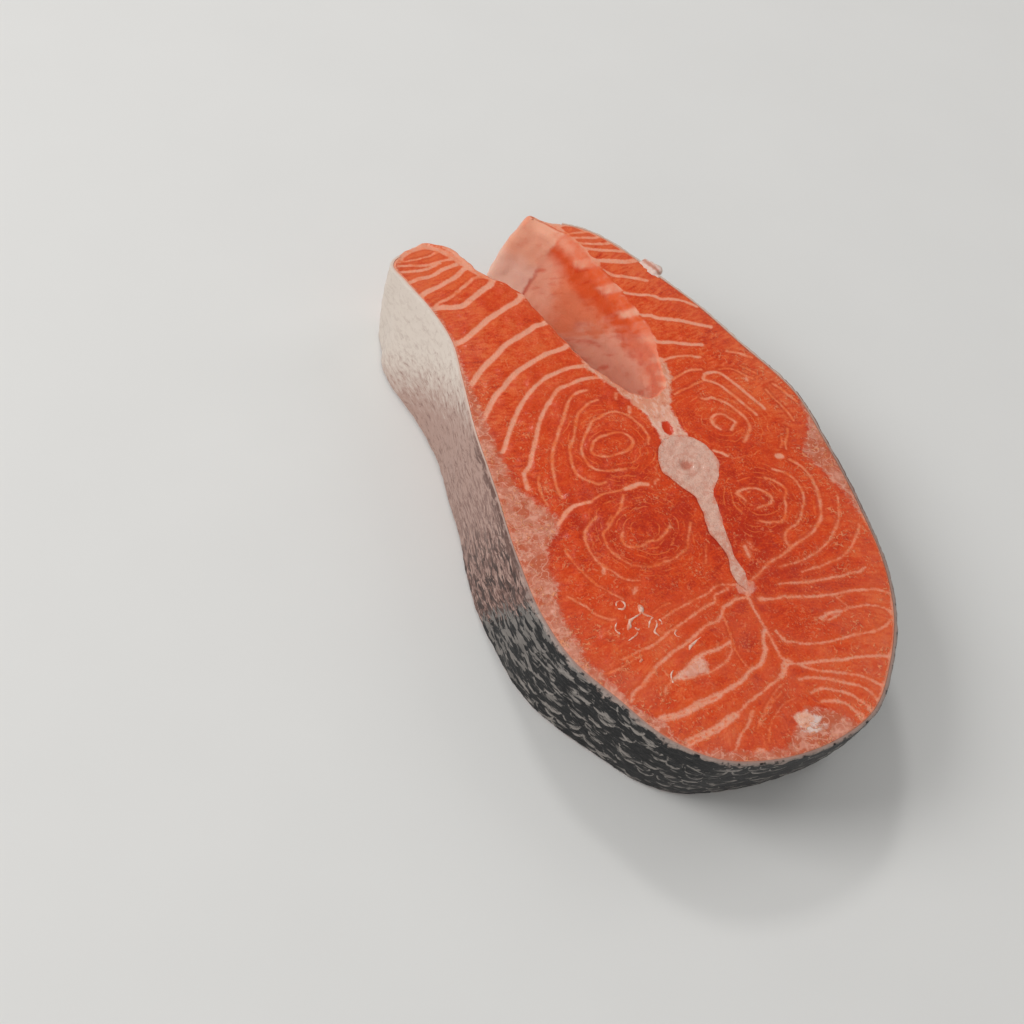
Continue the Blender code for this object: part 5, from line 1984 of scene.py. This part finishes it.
    def with_fat(self, graph: Graph, colour: Colour, ragged: Value) -> Colour:
        """The fat lines over a colour, faint ones orange and broken, strong ones pale, with painted groove
        shade along their edges.
        """
        strength = graph.attribute("fat_tone")
        uneven = graph.sway(2.6, 3.0)
        rough = graph.attribute("from_bone").step(0.0, 40.0)
        edge = graph.attribute("fat_edge") + 0.42 * ragged + 0.5 * graph.sway(3.6, 2.0)
        edge = edge + graph.sway(0.6, 2.0) * (0.3 + 0.7 * rough) - 0.16 * rough
        curls = graph.noise(0.8, 3.0).step(0.5, 0.68) * (0.25 + 0.5 * rough)
        holes = graph.noise(1.3, 3.0).step(0.46, 0.62) * edge.step(0.1, 0.8)
        # The pale curls in strong lines are partly painted glints of the wet surface.
        tint = graph.mix(self.faint_fat, self.fat, (strength + 1.1 * uneven).step(0.3, 1.0)).layered(
            (self.border_light, curls * strength),
            (self.light, holes * rough * 0.75),
        )
        # Painted shade: a dark band just outside each fat line, strongest for faint lines, for the shadow of
        # its sunken groove.
        painted_groove_shade = edge.step(-1.0, -0.45) * edge.step(0.1, -0.3)
        cover = (0.46 + 0.75 * strength + 1.3 * uneven).smaller(1.0).larger(0.0)
        return colour.layered(
            (self.deep, painted_groove_shade * (1.2 - strength) * 0.65),
            (self.light, (edge + 0.5 * rough).step(-0.9, 0.1) * strength * 0.5),
            (tint, (edge * (1.0 - 0.3 * rough)).step(-0.30, 0.34) * cover),
        )

    def wall(self, graph: Graph) -> Colour:
        """The walls beside the belly: orange, dusty membrane towards the bone, coral at the flaps' ends, with
        painted shade in the crease beside the end facet.
        """
        depth = THICKNESS - graph.coordinate("Z")
        run = graph.attribute("run")
        slant = run + depth
        broad, soft = graph.sway(7.0, 3.0), graph.sway(3.2, 3.0)
        bands = graph.sway(1.0, 2.0, 0.5, place=graph.combined(slant / 3.4, (depth - run) / 13.0, 0.0))
        fibres = graph.noise(1.0, 2.0, place=graph.combined(slant / 1.1, (depth - run) / 9.0, 5.0))
        bare = (bands + 0.5 * soft).step(0.0, 0.22) * depth.step(12.0, 5.0)
        lower = (depth + 9.0 * bands + 9.0 * broad).step(5.5, 12.0)
        outer = (slant + 26.0 * bands + 12.0 * broad).step(58.0, 68.0)
        corner = (run - 0.35 * depth + 6.0 * soft + 8.0 * broad).step(30.0, 21.0) * depth.step(4.0, 10.0)
        streaks = (bands + 0.3 * soft).step(0.0, 0.3) * depth.step(4.0, 8.0) * run.step(92.0, 74.0)
        ends = (graph.attribute("fat_edge") + 1.6 * soft).step(-0.6, 0.7) * graph.attribute("fat_tone")
        ends = ends * (0.9 + 3.0 * broad) * (depth + 3.0 * soft).step(5.0, 1.6)
        clear = (soft + 0.6 * broad).step(0.0, 0.35) * depth.step(13.0, 7.0)
        facet = graph.mix(self.coral, self.coral_low, (depth + 8.0 * broad).step(9.0, 17.0))
        facet = facet.mix(self.wall_orange, clear * 0.45)
        seam = run + 2.0 * soft + 1.5 * broad - 22.6
        # Painted shade: a dark line in the crease where the flap's end facet meets the wall, stronger further
        # down.
        painted_crease_shade = (seam - 0.4).math("ABSOLUTE").step(1.1, 0.0) * depth.step(6.0, 22.0)
        return graph.mix(self.wall_orange, self.middle, bare).layered(
            (self.wall_brown, lower),
            (self.dusty, outer * (0.35 + 0.65 * lower)),
            (self.dusty, corner * 0.85),
            (self.middle, streaks * 0.6),
            (self.fat, fibres.step(0.5, 0.66) * run.step(70.0, 86.0) * 0.5),
            (self.coral, ends * 0.9),
            (facet, seam.step(0.9, -0.4)),
            (self.deep, painted_crease_shade * 0.7),
        )


@dataclass(frozen=True)
class BoneFinish(Finish):
    """Matt pale pink bone with dark pores and marrow in the middle.

    Attributes:
        pale: The bone.
        pink: Its bloodier places.
        marrow: The marrow's spot.
        stain: Flesh at its edge.
    """

    pale: tuple = linear(220, 172, 152)
    pink: tuple = linear(204, 138, 116)
    marrow: tuple = linear(186, 100, 74)
    stain: tuple = linear(212, 98, 58)
    name = "pale_bone"
    constants = {"Metallic": 0.0, "Subsurface Weight": 0.1, "Subsurface Radius": (0.002, 0.001, 0.0007)}

    def look(self, graph: Graph) -> dict[str, object]:
        """Pale bone, pinker in spots, at the marrow and where the flesh stains its edge."""
        ragged = graph.sway(0.9, 3.0)
        pores = graph.noise(0.5, 3.0).step(0.52, 0.68)
        blotch = graph.noise(2.2, 3.0).step(0.45, 0.65)
        centre = graph.attribute("centre") + 1.6 * ragged
        edge = (graph.attribute("rim") + 3.0 * ragged + 3.0 * graph.sway(3.0, 2.0)).step(0.6, 0.0)
        blade = (graph.coordinate("Y") - float(ROW_SHIFT[1]) + 6.0 * ragged).step(-14.0, -26.0)
        colour = graph.mix(self.pale, self.pink, blotch * 0.6).layered(
            (self.pink, pores * 0.5),
            (self.marrow, centre.step(2.2, 0.9) * 0.85),
            (self.pink, (centre - 3.4).math("ABSOLUTE").step(0.5, 0.1) * 0.5),
            (self.stain, (edge * 0.5).larger(blade * (0.02 + 0.26 * blotch))),
        )
        return {
            "Base Color": colour,
            "Roughness": 0.42 + 0.2 * graph.noise(1.0, 2.0),
            "Coat Weight": 0.25 * graph.noise(2.0, 2.0),
            "Normal": self.bump(graph, graph.noise(0.5, 3.0), 0.25),
        }


@dataclass(frozen=True)
class SkinFinish(Finish):
    """Moist fish skin, silvery white at the belly, brown on the flank and charcoal at the back.

    Attributes:
        belly: The pale belly.
        belly_grey: Its faint streaks.
        flank: The grey-pink flank.
        flank_deep: Its darker streaks.
        brown: The brown streaks next to the back; also painted shade under the upper edge and along a
            wrinkle.
        spot: The nearly black spots among them.
        back: The dark back.
        silver: The pale streaks in the dark, and the painted highlight on the scales' rims there.
        edge: The cut edge at the belly.
        dull_edge: The cut edge at the back.
        frill: The frayed thin tissue along the upper edge of the back.
        scales: Whether it is the scales', which have pale rims painted as highlight.
    """

    belly: tuple = linear(212, 199, 187)
    belly_grey: tuple = linear(188, 170, 159)
    flank: tuple = linear(173, 142, 130)
    flank_deep: tuple = linear(140, 109, 99)
    brown: tuple = linear(98, 70, 62)
    spot: tuple = linear(44, 30, 27)
    back: tuple = linear(15, 15, 17)
    silver: tuple = linear(144, 137, 131)
    edge: tuple = linear(214, 184, 168)
    dull_edge: tuple = linear(160, 128, 116)
    frill: tuple = linear(176, 156, 146)
    scales: bool = False
    name = "fish_skin"
    constants = {"Metallic": 0.0, "Specular IOR Level": 0.25, "Coat Roughness": 0.25}

    def look(self, graph: Graph) -> dict[str, object]:
        """Colours along the outline with streaks that run along it."""
        reach = graph.attribute("reach") + graph.attribute("leaf_reach")
        level = graph.attribute("level") + graph.attribute("leaf_level")
        along = reach.smaller(SKIN_REACH - reach) + 3.0 * graph.sway(5.0, 3.0)
        streak = graph.noise(1.0, 3.0, 0.6, place=graph.combined(reach / 4.0, level / 1.0, 0.0))
        fine = graph.noise(1.0, 3.0, 0.65, place=graph.combined(reach / 1.6, level / 0.6, 3.0))
        patch = graph.noise(1.0, 2.0, 0.55, place=graph.combined(reach / 5.0, level / 1.6, 7.0))
        turn = along - 0.65 * level + 8.5
        low_turn = along - 1.5 * level + 19.5
        uneven = 0.6 * streak + 0.4 * fine - 0.5
        streaks = (uneven + (turn.smaller(118.0) - 112.0) / 260.0).step(-0.03, 0.05)
        # Painted shade: a brown band just below the upper edge, on the flank towards the back.
        painted_shade_under_edge = level.step(23.2, 24.4) * turn.step(58.0, 74.0) * streak.step(0.38, 0.55)
        # Painted shade: a thin brown line slanting across the flank, for the crease of a wrinkle.
        wrinkle = (along - 0.35 * level - 98.3).math("ABSOLUTE").step(1.2, 0.2) * fine.step(0.35, 0.55)
        flank = graph.mix(self.flank, self.flank_deep, (turn + 420.0 * uneven).step(62.0, 108.0)).layered(
            (self.brown, streaks * turn.step(56.0, 92.0)),
            (self.spot, (patch + 0.5 * uneven).step(0.49, 0.56) * turn.step(84.0, 106.0) * 0.85),
            (self.brown, painted_shade_under_edge * 0.8),
            (self.brown, wrinkle * 0.7),
        )
        shine = (patch - 0.0036 * (turn - 117.0) + 0.45 * uneven).step(0.44, 0.52) * (0.62 + 0.9 * uneven)
        night = graph.mix(self.back, self.silver, shine).mix(self.silver, fine.step(0.5, 0.75) * 0.2)
        greyer = (uneven + 0.5).step(0.48, 0.72) * (0.4 + 0.4 * along.step(10.0, 40.0))
        dark = (turn + 24.0 * uneven).step(115.5, 119.0)
        colour = graph.mix(self.belly, self.belly_grey, greyer).layered(
            (flank, (low_turn + 60.0 * uneven).step(26.0, 56.0)),
            (night, dark),
        )
        if self.scales:
            lip = graph.attribute("scale_rim") + 0.9 * (fine - 0.5)
            broken = (patch + 0.7 * (streak - 0.5)).step(0.40, 0.54)
            # Painted highlight: pale rims on the scales' free edges in the dark back, as if the edges catch
            # the light; on the flank the same rims are faintly darker.
            rim = lip.step(0.66, 0.86) * lip.step(1.2, 0.98) * broken
            tone = graph.attribute("scale_tone")
            shown = (tone + 1.2 * (patch - 0.5)).step(0.35, 0.65) * turn.step(128.0, 140.0)
            colour = colour.layered(
                (self.silver, rim * dark * shown * (0.45 + 0.9 * streak).smaller(0.95)),
                (self.flank_deep, rim * (1.0 - dark) * 0.14),
                (self.back, tone.step(0.3, 0.0) * turn.step(120.0, 135.0) * 0.4),
            )
        fringe = graph.sway(1.0, 3.0, 0.6, place=graph.combined(reach / 2.6, level / 3.2, 11.0))
        frill = (level - 25.2 + 8.0 * fringe).step(-0.4, 0.7) * level.step(22.4, 23.8)
        cut = graph.mix(self.edge, self.dull_edge, turn.step(50.0, 110.0))
        colour = colour.layered(
            (self.frill, frill * turn.step(98.0, 124.0) * (0.3 + 0.8 * fine)),
            (cut, graph.attribute("inner").step(0.12, 0.42) * 0.9),
        )
        return {
            "Base Color": colour,
            "Roughness": 0.42 + 0.25 * fine,
            "Coat Weight": 0.04 + 0.16 * graph.noise(3.0, 2.0),
            "Normal": self.bump(graph, 0.7 * streak + 0.4 * fine, 0.2),
        }


@dataclass(frozen=True)
class GlazeFinish(Finish):
    """Clear to whitish glaze, dried in threads.

    Attributes:
        white: Its thick places.
        pink: Its thin places, where the flesh shows through.
    """

    white: tuple = linear(240, 196, 174)
    pink: tuple = linear(230, 140, 106)
    name = "dried_glaze"
    constants = {"Metallic": 0.0, "Coat Roughness": 0.2, "Coat Weight": 0.25, "Subsurface Weight": 0.1}

    def look(self, graph: Graph) -> dict[str, object]:
        """White and pink in turns, wet all over."""
        return {
            "Base Color": graph.mix(self.pink, self.white, graph.noise(1.4, 2.0).step(0.42, 0.58)),
            "Roughness": 0.4 + 0.1 * graph.noise(0.6),
            "Normal": self.bump(graph, graph.noise(0.5, 2.0), 0.1),
        }


@dataclass(frozen=True)
class FloorFinish(Finish):
    """Plain pale floor."""

    pale: tuple = linear(226, 225, 222)
    dull: tuple = linear(222, 221, 218)
    name = "pale_floor"
    constants = {"Roughness": 0.8, "Metallic": 0.0}

    def look(self, graph: Graph) -> dict[str, object]:
        """One colour with hardly visible unevenness."""
        return {"Base Color": graph.mix(self.pale, self.dull, graph.noise(40.0, 2.0))}


@dataclass(frozen=True)
class Lamp:
    """A soft area light.

    Attributes:
        name: Its name.
        place: Where it is, in metres.
        size: Length of its sides in metres.
        power: Its power in watts.
    """

    name: str
    place: tuple[float, float, float]
    size: float
    power: float

    def build(self) -> None:
        """Makes the light, turned to the origin."""
        data = bpy.data.lights.new(self.name, "AREA")
        data.size, data.energy = self.size, self.power
        light = bpy.data.objects.new(self.name, data)
        light.location = self.place
        light.rotation_euler = (-Vector(self.place)).to_track_quat("-Z", "Y").to_euler()
        bpy.context.scene.collection.objects.link(light)


@dataclass(frozen=True)
class Studio:
    """Floor, lights and camera.

    Attributes:
        lamps: The lights.
        world_strength: How bright the surroundings are.
        floor_size: Length of the floor's sides in metres.
        floor_height: Height of the floor in metres, just under the steak.
        camera_place: Where the camera is, in metres.
        camera_turn: Its axes as the rows of a turn.
        lens: Its focal length in millimetres.
        sensor: The width of its sensor in millimetres.
        clip: The nearest and the farthest it sees, in metres.
    """

    lamps: tuple[Lamp, ...] = (
        Lamp("key_light", (-0.98, 0.30, 0.86), 0.7, 8.1),
        Lamp("fill_light", (-0.75, -0.75, 0.45), 0.8, 2.1),
        Lamp("glint_light", (0.06, 0.75, 0.92), 0.16, 2.2),
        Lamp("back_light", (0.80, 0.25, 0.70), 0.5, 1.0),
    )
    world_strength: float = 0.38
    floor_size: float = 6.0
    floor_height: float = -0.0002
    camera_place: tuple[float, float, float] = (-0.16210, -0.25540, 0.32530)
    camera_turn: tuple[tuple[float, float, float], ...] = (
        (0.941809, 0.144451, -0.303532),
        (-0.306012, 0.742128, -0.596327),
        (0.139120, 0.654509, 0.743145),
    )
    lens: float = 59.766
    sensor: float = 36.0
    clip: tuple[float, float] = (0.01, 20.0)

    def build(self) -> None:
        """Makes the floor, the lights, the world and the camera."""
        scene = bpy.context.scene
        bpy.ops.mesh.primitive_plane_add(size=self.floor_size, location=(0.0, 0.0, self.floor_height))
        floor = bpy.context.object
        floor.name = "floor"
        floor.data.materials.append(FloorFinish().material())
        for lamp in self.lamps:
            lamp.build()
        world = scene.world = bpy.data.worlds.new("soft_studio")
        world.use_nodes = True
        background = world.node_tree.nodes["Background"]
        background.inputs["Color"].default_value = (1.0, 1.0, 1.0, 1.0)
        background.inputs["Strength"].default_value = self.world_strength
        data = bpy.data.cameras.new("camera")
        data.lens, data.sensor_width = self.lens, self.sensor
        data.clip_start, data.clip_end = self.clip
        camera = scene.camera = bpy.data.objects.new("camera", data)
        camera.matrix_world = Matrix.Translation(self.camera_place) @ Matrix(self.camera_turn).to_4x4()
        scene.collection.objects.link(camera)
        scene.view_settings.view_transform = "Standard"


class Steak:
    """The whole steak: flesh, backbone and skin."""

    def __init__(self) -> None:
        """Prepares the parts that lie against one another."""
        self.bone = Backbone()
        self.flesh = Flesh(self.bone, FaceFields())
        self.skin = Skin(SkinSize())
        self.scales = Scales(self.skin)

    def build(self) -> None:
        """Makes every piece, hangs it under the root, hides the CAD part that it replaces and reports it."""
        moist = FleshFinish().material()
        skin = self.skin.build(SkinFinish().material())
        flesh = self.flesh.build(moist)
        bone = self.bone.build(BoneFinish().material())
        for piece, slot, replaced in (
            (flesh, Node.FLESH, True),
            (bone, Node.BACKBONE, True),
            (skin, Node.SKIN, True),
            (self.scales.build(SkinFinish(scales=True).material(), skin), Node.SKIN, False),
            (FatTab().build(moist, self.flesh.fields), Node.FLESH, False),
            (GlazeThreads().build(GlazeFinish().material()), Node.FLESH, False),
        ):
            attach(piece, "root")
            if replaced:
                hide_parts(slot.value)
            mesh = piece.data
            LOG.info("%s: %d points, %d faces", piece.name, len(mesh.vertices), len(mesh.polygons))


def main() -> None:
    """Builds the steak and its studio, noting each piece's size."""
    logging.basicConfig(level=logging.INFO, format="%(name)s: %(message)s")
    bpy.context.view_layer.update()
    Steak().build()
    Studio().build()


if __name__ == "__main__":
    main()
